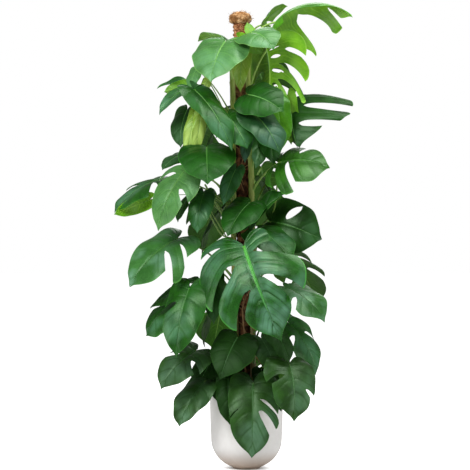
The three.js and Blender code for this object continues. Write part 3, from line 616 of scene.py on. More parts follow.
def grown_skin(name, heights, low_tones, high_tones, grain, stretch=1, detail=3.0, depth=0.4,
               strength=0.3, change="LINEAR", **surface):
    """Skin or bark that grew: two tones low down and two high up, changing between two heights,
    in a grain that is drawn out upwards and stands out a little."""
    made, tree, shader = new_material(name, **surface)
    place = add_node(tree, "ShaderNodeTexCoord").outputs["Object"]
    height = add_node(tree, "ShaderNodeSeparateXYZ", {0: place}).outputs["Z"]
    risen = add_node(tree, "ShaderNodeMapRange", {
        "Value": height, "From Min": heights[0] * MM, "From Max": heights[1] * MM},
        interpolation_type=change).outputs[0]
    drawn = add_node(tree, "ShaderNodeMapping", {
        "Vector": place, "Scale": (1, 1, stretch)}).outputs[0]
    streaks = add_node(tree, "ShaderNodeTexNoise", {
        "Vector": drawn, "Scale": 1 / (grain * MM), "Detail": detail}).outputs[0]
    low, high = (add_node(tree, "ShaderNodeMix", {
        0: streaks, 6: hex_colour(dark), 7: hex_colour(light)}, data_type="RGBA").outputs[2]
        for dark, light in (low_tones, high_tones))
    colour = add_node(tree, "ShaderNodeMix", {
        0: risen, 6: low, 7: high}, data_type="RGBA").outputs[2]
    tree.links.new(colour, shader.inputs["Base Color"])
    relief = add_node(tree, "ShaderNodeBump", {
        "Height": streaks, "Strength": strength, "Distance": depth * MM}).outputs[0]
    tree.links.new(relief, shader.inputs["Normal"])
    return made


# Green bark: smooth and waxy above, browner and corky lower down, and finely furrowed upwards.
bark_green = grown_skin(
    "green_stem_bark", (250, 1200), ("#4A3B22", "#7C6B40"), ("#6F8A2C", "#A3B25A"), grain=4,
    stretch=0.12, detail=4.0, depth=1.0, strength=0.5, change="SMOOTHSTEP", Roughness=0.5,
    Specular_IOR_Level=0.4)
# Root bark: dry, tan to brown at every height, matt, and finely cracked along the root.
ROOT_TONES = ("#4A3020", "#9A7A52")
bark_root = grown_skin(
    "dry_root_bark", (0, 1000), ROOT_TONES, ROOT_TONES, grain=2.5, stretch=0.2, depth=0.8,
    strength=0.7, Roughness=0.85, Specular_IOR_Level=0.25)

random.seed(31)
for name, (around, wobble, bottom, top) in STEMS.items():
    stalk = []
    z = bottom
    while z <= top:
        ring = math.exp(-((z / RING_STEP) % 1 - 0.5) ** 2 / RING_WIDTH)
        taper = 1.0 - STEM_TIP * max(0, z - top + STEM_TAPER) / STEM_TAPER
        stalk.append((stem_point(name, z), STEM_RADIUS * taper * (0.93 + RING_SWELL * ring)))
        z += STEM_STEP
    stem = tubes(f"climbing_stem_{name}", [stalk], 3)
    stem.data.materials.append(bark_green)
    roots = []
    for owner, leaves_at, side, away in ROOTS:
        if owner != name:
            continue
        turn = math.radians(side)
        spots = [
            stem_point(name, leaves_at), pole_axis(leaves_at - 60, turn, away + 6),
            pole_axis((leaves_at + SOIL_HEIGHT) / 2, turn + 0.08, away + 2),
            pole_axis(SOIL_HEIGHT + 20, turn, away), pole_axis(SOIL_HEIGHT - 20, turn, away),
        ]
        roots.append([
            (p, ROOT_RADIUS * (0.9 + 0.2 * random.random())) for p in smooth_path(spots, 7)])
    # The short roots that grip the coir, on both sides of the stem
    for _ in range(GRIPPING_ROOTS):
        z = random.uniform(GRIP_FOOT, top - STEM_TAPER)
        way = random.choice((-1, 1))
        spots = [stem_point(name, z)]
        for k in range(1, 5):
            turn = math.radians(around) + way * (0.35 + 0.22 * k) + random.uniform(-0.1, 0.1)
            spots.append(pole_axis(z - 9 * k * random.uniform(0.7, 1.4), turn, COIR_RADIUS + 2.0))
        roots.append([(p, GRIP_RADIUS - 0.05 * k) for k, p in enumerate(smooth_path(spots, 4))])
    root_piece = tubes(f"aerial_roots_{name}", roots, 1)
    root_piece.data.materials.append(bark_root)
    stem = join(f"climbing_stem_{name}", [stem, root_piece])
    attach(stem, "root")
    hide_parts(f"stem_{name}")

# The leaves: large leathery blades on long stalks. Each blade is heart shaped, arched along its
# midrib and slotted from the margin inwards between its side veins. Young blades are whole and
# paler, old ones are dark, and the undersides are yellower and duller.

# Half of a blade's margin, from the notch beside the stalk round to the tip, as shares of the
# blade's length and of its half width
MARGIN = np.array([
    (-0.07, 0.05), (-0.19, 0.3), (-0.18, 0.68), (-0.01, 0.94), (0.24, 1.0),
    (0.5, 0.94), (0.74, 0.72), (0.9, 0.36), (1.0, 0.0),
])
# The side veins: up to a share of the margin they all fan out from the notch, and past it they
# start ever further up the midrib. They bow back a little, and lie closer on a broad blade.
FAN_SHARE, FAN_POWER = 0.35, 1.5
VEIN_SWEEP = 0.05
VEIN_GAP, BROAD_WIDTH = 0.12, 120
# How one side of a blade is slotted, by the number of its slots: how far out from the midrib a
# slot starts, its two edges there, and its two edges at the margin
CUTS = [
    [],
    [(0.4, 0.58, 0.62, 0.57, 0.63)],
    [(0.46, 0.4, 0.43, 0.395, 0.44), (0.4, 0.64, 0.68, 0.645, 0.69)],
    [(0.42, 0.29, 0.31, 0.28, 0.32), (0.34, 0.46, 0.5, 0.46, 0.51), (0.34, 0.65, 0.69, 0.66, 0.71)],
]
# A slot is round over the first share of its length and bellies by the second. The corners of
# the lobes beside it are cut back, most at the back of a lobe.
SLOT_END, SLOT_BELLY = 0.2, 0.25
BACK_CORNER, FRONT_CORNER = 0.14, 0.03
# The grid of half a blade: columns round the margin and rows from the midrib out. A slot or hole
# is a seam this thin where it is closed.
COLUMNS, ROWS, ROW_POWER = 60, 18, 0.9
SEAM = 0.004
# What makes the sheet uneven, each as a share of the blade's own size
UNEVEN = 0.012
RIPPLE_TURNS, RIPPLE = 21, 0.03
PUFF, LOBE_CUP = 0.012, 0.02
MIDRIB_GROOVE, GROOVE_SHARE = 0.008, 0.06
DRIP_TIP, DRIP_SHARE = 0.035, 0.04
BLADE_THICKNESS = 0.8
# The pattern of a leaf's skin: its clouds of colour, its patches of painted sheen, its net of veins
FLESH_CLOUD, SHEEN_PATCH, VEIN_NET = 50, 95, 7


def along_margin(v):
    """The margin's place at each share v of its length, on a smooth line through its points."""
    at = np.clip(v, 0, 1) * (len(MARGIN) - 1)
    i = np.minimum(at.astype(int), len(MARGIN) - 2)
    t = (at - i)[..., None]
    p0, p1, p2 = MARGIN[np.maximum(i - 1, 0)], MARGIN[i], MARGIN[i + 1]
    p3 = MARGIN[np.minimum(i + 2, len(MARGIN) - 1)]
    a, b = (p2 - p0) / 2, (p3 - p1) / 2
    return (2 * p1 - 2 * p2 + a + b) * t ** 3 + (3 * p2 - 3 * p1 - 2 * a - b) * t ** 2 + a * t + p1


def lobes_and_slots(r, cuts, holes):
    """The parts of a half blade from its notch to its tip. Each part is its two edges at every
    row, its lobe, and the rows that are open, which are none in a lobe."""
    edges = [np.zeros_like(r)]
    opened = []
    for start, in_low, in_high, out_low, out_high in cuts:
        share = np.clip((r - start) / (1 - start), 0, 1)
        low, high = in_low + (out_low - in_low) * share, in_high + (out_high - in_high) * share
        rounded = np.sqrt(1 - (1 - np.clip(share / SLOT_END, 0, 1)) ** 2)
        bellied = 1 + SLOT_BELLY * np.sin(np.pi * share)
        half = np.maximum((high - low) / 2 * rounded * bellied, SEAM)
        edges += [(low + high) / 2 - half, (low + high) / 2 + half]
        opened.append(share[1:] > 0)
    edges.append(np.ones_like(r))
    parts = []
    for lobe in range(len(cuts) + 1):
        left, right = edges[2 * lobe], edges[2 * lobe + 1]
        reached = left
        for owner, place, start, end, half in holes:
            if owner != lobe:
                continue
            inside = np.clip((r - start) / (end - start), 0, 1)
            wide = np.maximum(half * 2 * np.sqrt(inside * (1 - inside)), SEAM)
            middle = left + (right - left) * place
            parts.append((reached, middle - wide, lobe, None))
            is_open = (inside > 0) & (inside < 1)
            parts.append((middle - wide, middle + wide, lobe, is_open[1:] | is_open[:-1]))
            reached = middle + wide
        parts.append((reached, right, lobe, None))
        if lobe < len(cuts):
            parts.append((right, edges[2 * lobe + 2], lobe, opened[lobe]))
    return edges, parts


def lay_columns(r, cuts, holes):
    """The columns of a half blade: the lobes' edges, each column's place round the margin, its
    lobe, and the rows that are open beside it. A slot or hole is one column wide."""
    edges, parts = lobes_and_slots(r, cuts, holes)
    wide = np.array([np.mean(right - left) if gap is None else 0 for left, right, _, gap in parts])
    free = COLUMNS - sum(1 for part in parts if part[3] is not None)
    ends = np.round(free * np.cumsum(wide) / wide.sum()).astype(int)
    v, lobe, gone = [parts[0][0]], [0], []
    done = 0
    for (left, right, owner, gap), end in zip(parts, ends):
        count = 1 if gap is not None else max(1, end - done)
        done += 0 if gap is not None else count
        for i in range(1, count + 1):
            v.append(left + (right - left) * i / count)
            lobe.append(owner)
            gone.append(gap if gap is not None else np.zeros(ROWS, bool))
    v, lobe = np.array(v)[:COLUMNS + 1], np.array(lobe)[:COLUMNS + 1]
    v[-1] = 1.0
    for i, k in enumerate(lobe):
        if k < len(cuts) and np.mean(v[i] - edges[2 * k + 1]) > SEAM:
            lobe[i] += 1
    return edges, v, lobe, np.array(gone)[:COLUMNS]


def lay_veins(edges, v, lobe, reach, width):
    """Each lobe has its own side veins, evenly spaced across it. For every point: its place among
    the veins, its place across its lobe, its lobe's length, and how far its corners are cut back."""
    vein, across_lobe = np.zeros_like(v), np.zeros_like(v)
    longer, rounding = np.ones_like(v), np.zeros_like(v)
    vein_gap = VEIN_GAP * max(1, BROAD_WIDTH / width)
    last = len(edges) // 2 - 1
    count_before = 0
    for k in range(last + 1):
        left, right = edges[2 * k], edges[2 * k + 1]
        here = lobe == k
        share = np.clip((v[here] - left) / np.maximum(right - left, 1e-6), 0, 1)
        count = max(1, round(float(np.mean(right - left)) / vein_gap))
        vein[here] = count_before + count * share
        count_before += count
        across_lobe[here] = 2 * share - 1
        longer[here] = reach[k]
        near, far = np.clip(1 - 2 * share, 0, 1) ** 2.5, np.clip(2 * share - 1, 0, 1) ** 6
        rounding[here] = near * BACK_CORNER * (k > 0) + far * FRONT_CORNER * (k < last)
    return vein, across_lobe, longer, rounding


def blade_frame(row):
    """A blade's foot, direction, upper side and length, its arch, and the arch's radius."""
    base, ahead = Vector(row["base"]), Vector(row["tip"]) - Vector(row["base"])
    length = ahead.length
    ahead.normalize()
    up = Vector(row["face"])
    up = (up - ahead * up.dot(ahead)).normalized()
    arch = math.radians(row["arch"])
    return base, ahead, up, length, arch, length / (2 * math.sin(arch / 2))


def half_blade(row, side):
    """One half of a blade: its points, each point's place among the veins, and its gaps."""
    cuts, reach, holes = (row[k][0 if side > 0 else 1] for k in ("cuts", "reach", "holes"))
    reach = [*reach, *[1.0] * (len(cuts) + 1 - len(reach))]
    r = np.linspace(0, 1, ROWS + 1) ** ROW_POWER
    edges, v, lobe, gone = lay_columns(r, cuts, holes)
    vein, across_lobe, longer, rounding = lay_veins(edges, v, lobe, reach, row["width"])
    from_vein = np.abs(vein % 1 - 0.5) * 2
    v[:, 0] = np.linspace(0, 1, COLUMNS + 1)

    # The outline, laid flat: along is a share of the length, and across of the half width
    base, ahead, up, length, arch, bend = blade_frame(row)
    out_share = r * np.ones_like(v)
    uneven = UNEVEN * (np.sin(19 * v + length) + 0.7 * np.sin(37 * v + side * length))
    r = out_share * (1 + (longer - 1) * out_share) * (1 - (rounding + uneven) * out_share ** 2)
    edge = along_margin(v)
    fan = np.clip((v - FAN_SHARE) / (1 - FAN_SHARE), 0, None) ** FAN_POWER
    sweep = row["sweep"] * 4 * r * (1 - r) * edge[..., 1]
    drip = DRIP_TIP * np.exp(-((1 - v) / DRIP_SHARE) ** 2) * out_share ** 2
    along = fan + (edge[..., 0] - fan) * r - sweep + drip
    across = edge[..., 1] * r

    # Each side rises from the midrib at the fold and droops to the margin, and the sheet is waved,
    # swells between its veins, cups its lobes and sinks along the midrib
    half, fold, droop = row["width"] / 2, math.radians(row["fold"]), math.radians(row["droop"])
    slope = fold - droop * across
    out = half * (math.sin(fold) - np.sin(slope)) / droop
    rise = half * (np.cos(slope) - math.cos(fold)) / droop
    ripple = RIPPLE * length * np.sin(v * RIPPLE_TURNS + side) * across * r
    fade = out_share ** 0.6 * (1 - out_share ** 3)
    puff = -PUFF * row["width"] * (1 - from_vein) ** 4 * fade
    lobe_cup = -LOBE_CUP * row["width"] * across_lobe ** 2 * out_share ** 1.5 * (len(cuts) > 0)
    groove = -MIDRIB_GROOVE * row["width"] * np.exp(-(out_share / GROOVE_SHARE) ** 2)
    high = rise + ripple + puff + lobe_cup + groove

    # The whole sheet is bent over the blade's arch
    heading = arch * (0.5 - along)
    base, ahead, up, aside = (np.array(k) for k in (base, ahead, up, ahead.cross(up)))
    points = (
        base
        + ahead * (bend * (math.sin(arch / 2) - np.sin(heading)) - np.sin(heading) * high)[..., None]
        + up * (bend * (np.cos(heading) - math.cos(arch / 2)) + np.cos(heading) * high)[..., None]
        + aside * (side * out)[..., None])
    return points, np.stack([vein, out_share, along], axis=-1), gone


def blade(name, row, skins):
    """A whole blade as a thin closed sheet, with one skin above and another below."""
    corners, places, faces = [], [], []
    for side in (1, -1):
        points, place, gone = half_blade(row, side)
        start = len(corners)
        corners += [tuple(p) for p in points.reshape(-1, 3) * MM]
        places += [tuple(p) for p in place.reshape(-1, 3)]
        for i in range(COLUMNS):
            for j in range(ROWS):
                if gone[i, j]:
                    continue
                a, b = start + i * (ROWS + 1) + j, start + (i + 1) * (ROWS + 1) + j
                faces.append((a, a + 1, b + 1, b) if side > 0 else (a, b, b + 1, a + 1))
    sheet = bpy.data.meshes.new(name)
    sheet.from_pydata(corners, [], faces)
    grain = sheet.attributes.new("leaf_place", "FLOAT_VECTOR", "POINT")
    grain.data.foreach_set("vector", [n for p in places for n in p])
    piece = bpy.data.objects.new(name, sheet)
    bpy.context.collection.objects.link(piece)
    deselect_all()
    piece.select_set(True)
    bpy.context.view_layer.objects.active = piece
    bpy.ops.object.mode_set(mode="EDIT")
    bpy.ops.mesh.select_all(action="SELECT")
    bpy.ops.mesh.remove_doubles(threshold=0.05 * MM)
    bpy.ops.mesh.delete_loose()
    bpy.ops.object.mode_set(mode="OBJECT")
    for skin in skins:
        sheet.materials.append(skin)
    thick = piece.modifiers.new("thickness", "SOLIDIFY")
    thick.thickness = BLADE_THICKNESS * MM
    thick.offset = 0
    thick.material_offset = 1
    bpy.ops.object.modifier_apply(modifier="thickness")
    bpy.ops.object.shade_smooth_by_angle(angle=math.radians(60))
    return piece


def leaf_skin(name, flesh, shadow, rib, groove, painted_sheen, wax, rough, ribbed):
    """Leaf skin: waxy flesh that bulges in plates between its side veins, with a painted grey sheen
    on the plates, painted shade in the grooves of the upper skins, a net of fine veins, a pale
    midrib, and a thin pale edge."""
    made, tree, shader = new_material(
        name, Roughness=rough, Specular_IOR_Level=wax, Specular_Tint=hex_colour("#BFE8BC"))
    place = add_node(tree, "ShaderNodeTexCoord").outputs["Object"]
    grain = add_node(tree, "ShaderNodeAttribute", attribute_name="leaf_place").outputs["Vector"]
    split = add_node(tree, "ShaderNodeSeparateXYZ", {0: grain})
    vein, across, along = (split.outputs[axis] for axis in "XYZ")
    shifted = add_node(tree, "ShaderNodeMath", {0: vein, 1: 0.5}, operation="ADD").outputs[0]
    apart = add_node(tree, "ShaderNodeMath", {0: shifted, 1: 0.5}, operation="PINGPONG").outputs[0]
    lesser = add_node(tree, "ShaderNodeMath", {0: vein, 1: 4.0}, operation="MULTIPLY").outputs[0]
    lesser = add_node(tree, "ShaderNodeMath", {0: lesser, 1: 0.5}, operation="PINGPONG").outputs[0]
    plate = add_node(tree, "ShaderNodeMapRange", {
        "Value": apart, "From Min": 0.01, "From Max": 0.16}, interpolation_type="SMOOTHSTEP").outputs[0]

    # Flesh in two tones
    clouds = add_node(tree, "ShaderNodeTexNoise", {
        "Vector": place, "Scale": 1 / (FLESH_CLOUD * MM), "Detail": 3.0, "Roughness": 0.55}).outputs[0]
    clouds = add_node(tree, "ShaderNodeMapRange", {
        "Value": clouds, "From Min": 0.35, "From Max": 0.65}).outputs[0]
    body = add_node(tree, "ShaderNodeMix", {
        0: clouds, 6: hex_colour(shadow), 7: hex_colour(flesh)}, data_type="RGBA").outputs[2]

    # Painted sheen: a grey highlight laid in patches, most of it on the plates, away from the margin
    # and near the tip
    sheen_share = add_node(tree, "ShaderNodeTexNoise", {
        "Vector": place, "Scale": 1 / (SHEEN_PATCH * MM), "Detail": 2.0, "Roughness": 0.5}).outputs[0]
    sheen_share = add_node(tree, "ShaderNodeMapRange", {
        "Value": sheen_share, "From Min": 0.42, "From Max": 0.62, "To Min": 0.0, "To Max": 0.5}).outputs[0]
    inner = add_node(tree, "ShaderNodeMapRange", {
        "Value": across, "From Min": 0.7, "From Max": 0.98, "To Min": 1.0, "To Max": 0.3}).outputs[0]
    towards_tip = add_node(tree, "ShaderNodeMapRange", {
        "Value": along, "From Min": 0.25, "From Max": 0.65, "To Min": 0.4, "To Max": 1.3}).outputs[0]
    on_plate = add_node(tree, "ShaderNodeMapRange", {"Value": plate, "To Min": 0.6}).outputs[0]
    for share in (inner, towards_tip, on_plate):
        sheen_share = add_node(tree, "ShaderNodeMath", {0: sheen_share, 1: share}, operation="MULTIPLY").outputs[0]
    body = add_node(tree, "ShaderNodeMix", {
        0: sheen_share, 6: body, 7: hex_colour(painted_sheen)}, data_type="RGBA").outputs[2]

    # Side veins lie in grooves that fade out towards the margin, with finer ones between them. They
    # are drawn in the groove colour: darker than the flesh on the upper skins, as painted shade in
    # the grooves, and paler on the undersides, where the ribs stand out
    fading = add_node(tree, "ShaderNodeMapRange", {
        "Value": across, "From Min": 0.35, "From Max": 0.95, "To Min": ribbed, "To Max": 0.1}).outputs[0]
    furrow = add_node(tree, "ShaderNodeMapRange", {
        "Value": apart, "From Min": 0.01, "From Max": 0.05, "To Min": 1.0, "To Max": 0.0},
        interpolation_type="SMOOTHSTEP").outputs[0]
    thin = add_node(tree, "ShaderNodeMapRange", {
        "Value": lesser, "From Min": 0.0, "From Max": 0.16, "To Min": 0.55, "To Max": 0.0}).outputs[0]
    furrow = add_node(tree, "ShaderNodeMath", {0: furrow, 1: thin}, operation="MAXIMUM").outputs[0]
    furrow = add_node(tree, "ShaderNodeMath", {0: furrow, 1: fading}, operation="MULTIPLY").outputs[0]
    body = add_node(tree, "ShaderNodeMix", {
        0: furrow, 6: body, 7: hex_colour(groove)}, data_type="RGBA").outputs[2]

    # Pale lines: the net, the midrib and the edge
    net = add_node(tree, "ShaderNodeTexVoronoi", {
        "Vector": place, "Scale": 1 / (VEIN_NET * MM)}, feature="DISTANCE_TO_EDGE").outputs[0]
    pale = add_node(tree, "ShaderNodeMapRange", {
        "Value": net, "From Min": 0.0, "From Max": 0.12, "To Min": 0.1, "To Max": 0.0}).outputs[0]
    midrib = add_node(tree, "ShaderNodeMapRange", {
        "Value": across, "From Min": 0.012, "From Max": 0.04, "To Min": 1.0, "To Max": 0.0},
        interpolation_type="SMOOTHSTEP").outputs[0]
    edge = add_node(tree, "ShaderNodeMapRange", {
        "Value": across, "From Min": 0.97, "From Max": 0.995, "To Min": 0.0, "To Max": 0.5}).outputs[0]
    for line in (midrib, edge):
        pale = add_node(tree, "ShaderNodeMath", {0: pale, 1: line}, operation="MAXIMUM").outputs[0]
    colour = add_node(tree, "ShaderNodeMix", {
        0: pale, 6: body, 7: hex_colour(rib)}, data_type="RGBA").outputs[2]
    tree.links.new(colour, shader.inputs["Base Color"])

    # Relief: the fine net first, then the plates with the lesser veins on them
    fine = add_node(tree, "ShaderNodeMath", {0: net, 1: 4.0}, operation="MULTIPLY").outputs[0]
    fine = add_node(tree, "ShaderNodeMath", {0: fine, 1: 1.0}, operation="MINIMUM").outputs[0]
    netted = add_node(tree, "ShaderNodeBump", {
        "Height": fine, "Strength": 0.3, "Distance": 0.4 * MM}).outputs[0]
    plates = add_node(tree, "ShaderNodeMath", {
        0: lesser, 1: 0.35, 2: plate}, operation="MULTIPLY_ADD").outputs[0]
    swell = add_node(tree, "ShaderNodeMath", {0: plates, 1: fading}, operation="MULTIPLY").outputs[0]
    relief = add_node(tree, "ShaderNodeBump", {
        "Height": swell, "Strength": 0.6, "Distance": 1.6 * MM, "Normal": netted}).outputs[0]
    tree.links.new(relief, shader.inputs["Normal"])
    return made


# Lower skins: duller and yellower than the upper ones, with ribs that stand out pale. The young
# one is vivid yellow green: painted light, as where light falls through a thin blade.
UNDERSIDES = {
    "grown": leaf_skin(
        "leaf_underside", "#33600F", "#244A0A", "#648C3A", "#4C7A2A", "#446A32", 0.25, 0.6, 0.6),
    "young": leaf_skin(
        "young_leaf_underside", "#68A016", "#4A8206", "#9CC653", "#86B83C", "#84AE62", 0.25, 0.55,
        0.6),
}
# Upper skins: waxy cuticle over green flesh. Each look is its skin's name, its underside, the
# slot of its leaf, its colours (flesh, shadow, pale lines, grooves and sheen, the last two painted
# shade and painted sheen), and how waxy, rough and ribbed it is. The deep look is painted shade,
# and the vivid look painted light.
BLADE_LOOKS = {
    # Painted shade: nearly black, for blades in the shade of the lower leaves
    "deep": ("shaded", "grown", "leaf_dark",
             "#143408", "#0B2404", "#2A5A18", "#081C04", "#1E3818", 0.18, 0.5, 0.35),
    # Old blades: bottle green, glossier, with a thin painted grey sheen
    "old": ("old", "grown", "leaf_dark",
            "#19420A", "#0E2C05", "#2F681C", "#0A2406", "#365A38", 0.3, 0.36, 0.28),
    # The oldest, low down: greyer, under more painted grey sheen
    "aged": ("aged", "grown", "leaf_dark",
             "#254716", "#182F0F", "#346422", "#0F260A", "#54765C", 0.34, 0.37, 0.3),
    # Clean deep green, with hardly any painted sheen
    "rich": ("rich", "grown", "leaf_dark",
             "#14460A", "#0C3205", "#3A8226", "#0A2804", "#2A5C20", 0.26, 0.4, 0.3),
    # Full-grown blades: mid green
    "grown": ("grown", "grown", "leaf_middle",
              "#1E5010", "#103608", "#3A8226", "#103209", "#4A7658", 0.34, 0.34, 0.28),
    # Mid green under so much painted sheen that it looks pale and soft
    "soft": ("soft_green", "young", "leaf_middle",
             "#34662C", "#224F1B", "#5A9A44", "#224E1C", "#729E84", 0.45, 0.34, 0.3),
    # Bluish: a cool green under an even painted sheen
    "dusky": ("dusky", "grown", "leaf_middle",
              "#1F4620", "#143216", "#3A7A34", "#0F2A12", "#3C5E50", 0.45, 0.36, 0.28),
    # The great leaf: dark flesh, strongly ribbed, with bright lines and a pale painted sheen
    "broad": ("broad", "grown", "leaf_middle",
              "#174A0C", "#0C3207", "#48A42C", "#0A2806", "#74A68E", 0.4, 0.31, 0.8),
    # Fresh green, with little painted sheen
    "fresh": ("fresh", "young", "leaf_middle",
              "#1F5008", "#153C05", "#4A9028", "#123606", "#467832", 0.32, 0.34, 0.32),
    # Painted light: bright yellow green, as where light falls through a thin blade
    "vivid": ("bright", "young", "leaf_middle",
              "#397806", "#2A5E04", "#74B83A", "#285A06", "#569024", 0.38, 0.3, 0.3),
    # Young blades: a soft grey green
    "young": ("young", "young", "leaf_pale",
              "#437438", "#335F2C", "#7AAE54", "#5E944A", "#5C8C62", 0.4, 0.36, 0.4),
    # Lime, in a blade that has only just unrolled
    "new": ("new", "young", "leaf_pale",
            "#789C28", "#64881E", "#BED27A", "#A8BE62", "#B0C870", 0.5, 0.4, 0.6),
}
SKINS, SLOT_OF = {}, {}
for age, (name, under, slot, *look) in BLADE_LOOKS.items():
    SKINS[age] = (leaf_skin(f"{name}_leaf_skin", *look), UNDERSIDES[under])
    SLOT_OF[age] = slot
# A lifted blade is a grown one seen from below, where the light falls through it: its young
# underside is painted light
SKINS["lifted"] = (SKINS["grown"][0], UNDERSIDES["young"])
SLOT_OF["lifted"] = "leaf_olive"

# Stalks: smooth and green, a little paler and yellower than the blade, with faint lengthwise lines.
stalk_skin = grown_skin(
    "green_leaf_stalk", (500, 1350), ("#3A5A20", "#5E7A34"), ("#6E9A34", "#9DBE5C"), grain=12,
    depth=0.5, Roughness=0.45, Specular_IOR_Level=0.45)
# The midrib: a smooth rib, a little paler than its blade, and bright green on the great leaf.
plain_rib = grown_skin(
    "leaf_midrib", (500, 1350), ("#20481A", "#2C5E24"), ("#4C8636", "#68A04C"), grain=9,
    Roughness=0.4, Specular_IOR_Level=0.4)
bright_rib = grown_skin(
    "bright_midrib", (520, 690), ("#3E6A44", "#4E7E54"), ("#2C861A", "#44A02C"), grain=9,
    Roughness=0.4, Specular_IOR_Level=0.4)

# A stalk clasps its stem with a sheath, bends up on its way, has a knee under the blade, and runs
# on as the midrib, which thins towards the tip
STALK_RADIUS = 3.4
STALK_SINK = 0.4
STALK_BEND, STALK_LIFT = 0.45, 0.22
STALK_STEPS = 18
SHEATH_SHARE, SHEATH_SWELL = 0.3, 0.7
KNEE_PLACE, KNEE_SHARE, KNEE_SWELL = 0.93, 0.045, 0.28
NOTCH_PLACE = 0.4
RIB_END, RIB_SINK = 0.97, 0.35
RIB_STEPS, RIB_THICK, RIB_THIN = 14, 0.5, 0.12
USUAL = {
    "arch": 45, "fold": 12, "droop": 40, "sweep": VEIN_SWEEP, "stalk": STALK_RADIUS, "lift": None,
    "cuts": ([], []), "reach": ([], []), "holes": ([], []), "rib": RIB_THICK,
}


def midrib_point(row, share, sink):
    """A point under the midrib at a share of the blade's length, in mm."""
    base, ahead, up, _, arch, bend = blade_frame(row)
    heading = arch * (0.5 - share)
    point = base + ahead * bend * (math.sin(arch / 2) - math.sin(heading))
    point += up * bend * (math.cos(heading) - math.cos(arch / 2))
    return point - (up * math.cos(heading) - ahead * math.sin(heading)) * sink


def stalk_and_midrib(row):
    """The stalk from the stem to the notch, with its sheath and knee, and the rib under the blade."""
    radius = row["stalk"]
    start = stem_point(row["stem"], row["from"])
    notch = ((NOTCH_PLACE - FAN_SHARE) / (1 - FAN_SHARE)) ** FAN_POWER
    end = midrib_point(row, notch, STALK_SINK * radius)
    bend = start.lerp(end, STALK_BEND)
    bend.z += STALK_LIFT * (end - start).length if row["lift"] is None else row["lift"]
    path = []
    for i in range(STALK_STEPS + 1):
        t = i / STALK_STEPS
        point = start * (1 - t) ** 2 + bend * 2 * t * (1 - t) + end * t * t
        sheath = SHEATH_SWELL * max(0, 1 - t / SHEATH_SHARE)
        knee = KNEE_SWELL * math.exp(-((t - KNEE_PLACE) / KNEE_SHARE) ** 2)
        path.append((point, radius * (0.9 + sheath + knee)))
    rib = []
    for i in range(RIB_STEPS + 1):
        sink = RIB_SINK * radius * (1 - i / (RIB_STEPS + 1))
        point = midrib_point(row, notch + (RIB_END - notch) * i / RIB_STEPS, sink)
        rib.append((point, radius * (row["rib"] * (1 - i / RIB_STEPS) + RIB_THIN)))
    return path, rib


def leaf(node, stem, start, base, tip, face, width, age, **curves):
    """One leaf's row: its node, its stem and the height where its stalk leaves it, its blade's
    notch and tip, the way its upper side faces, its width and its skin's look (mostly its age, and
    for some blades painted shade and light), and what isn't usual of its curves. Its cuts and reach,
    how long each lobe is, and its holes are given for both halves. A hole is its lobe, its place
    across it, its start and end from the midrib, and its half width."""
    return {
        **USUAL, "node": node, "stem": stem, "from": start, "base": base, "tip": tip, "face": face,
        "width": width, "age": age, **curves}


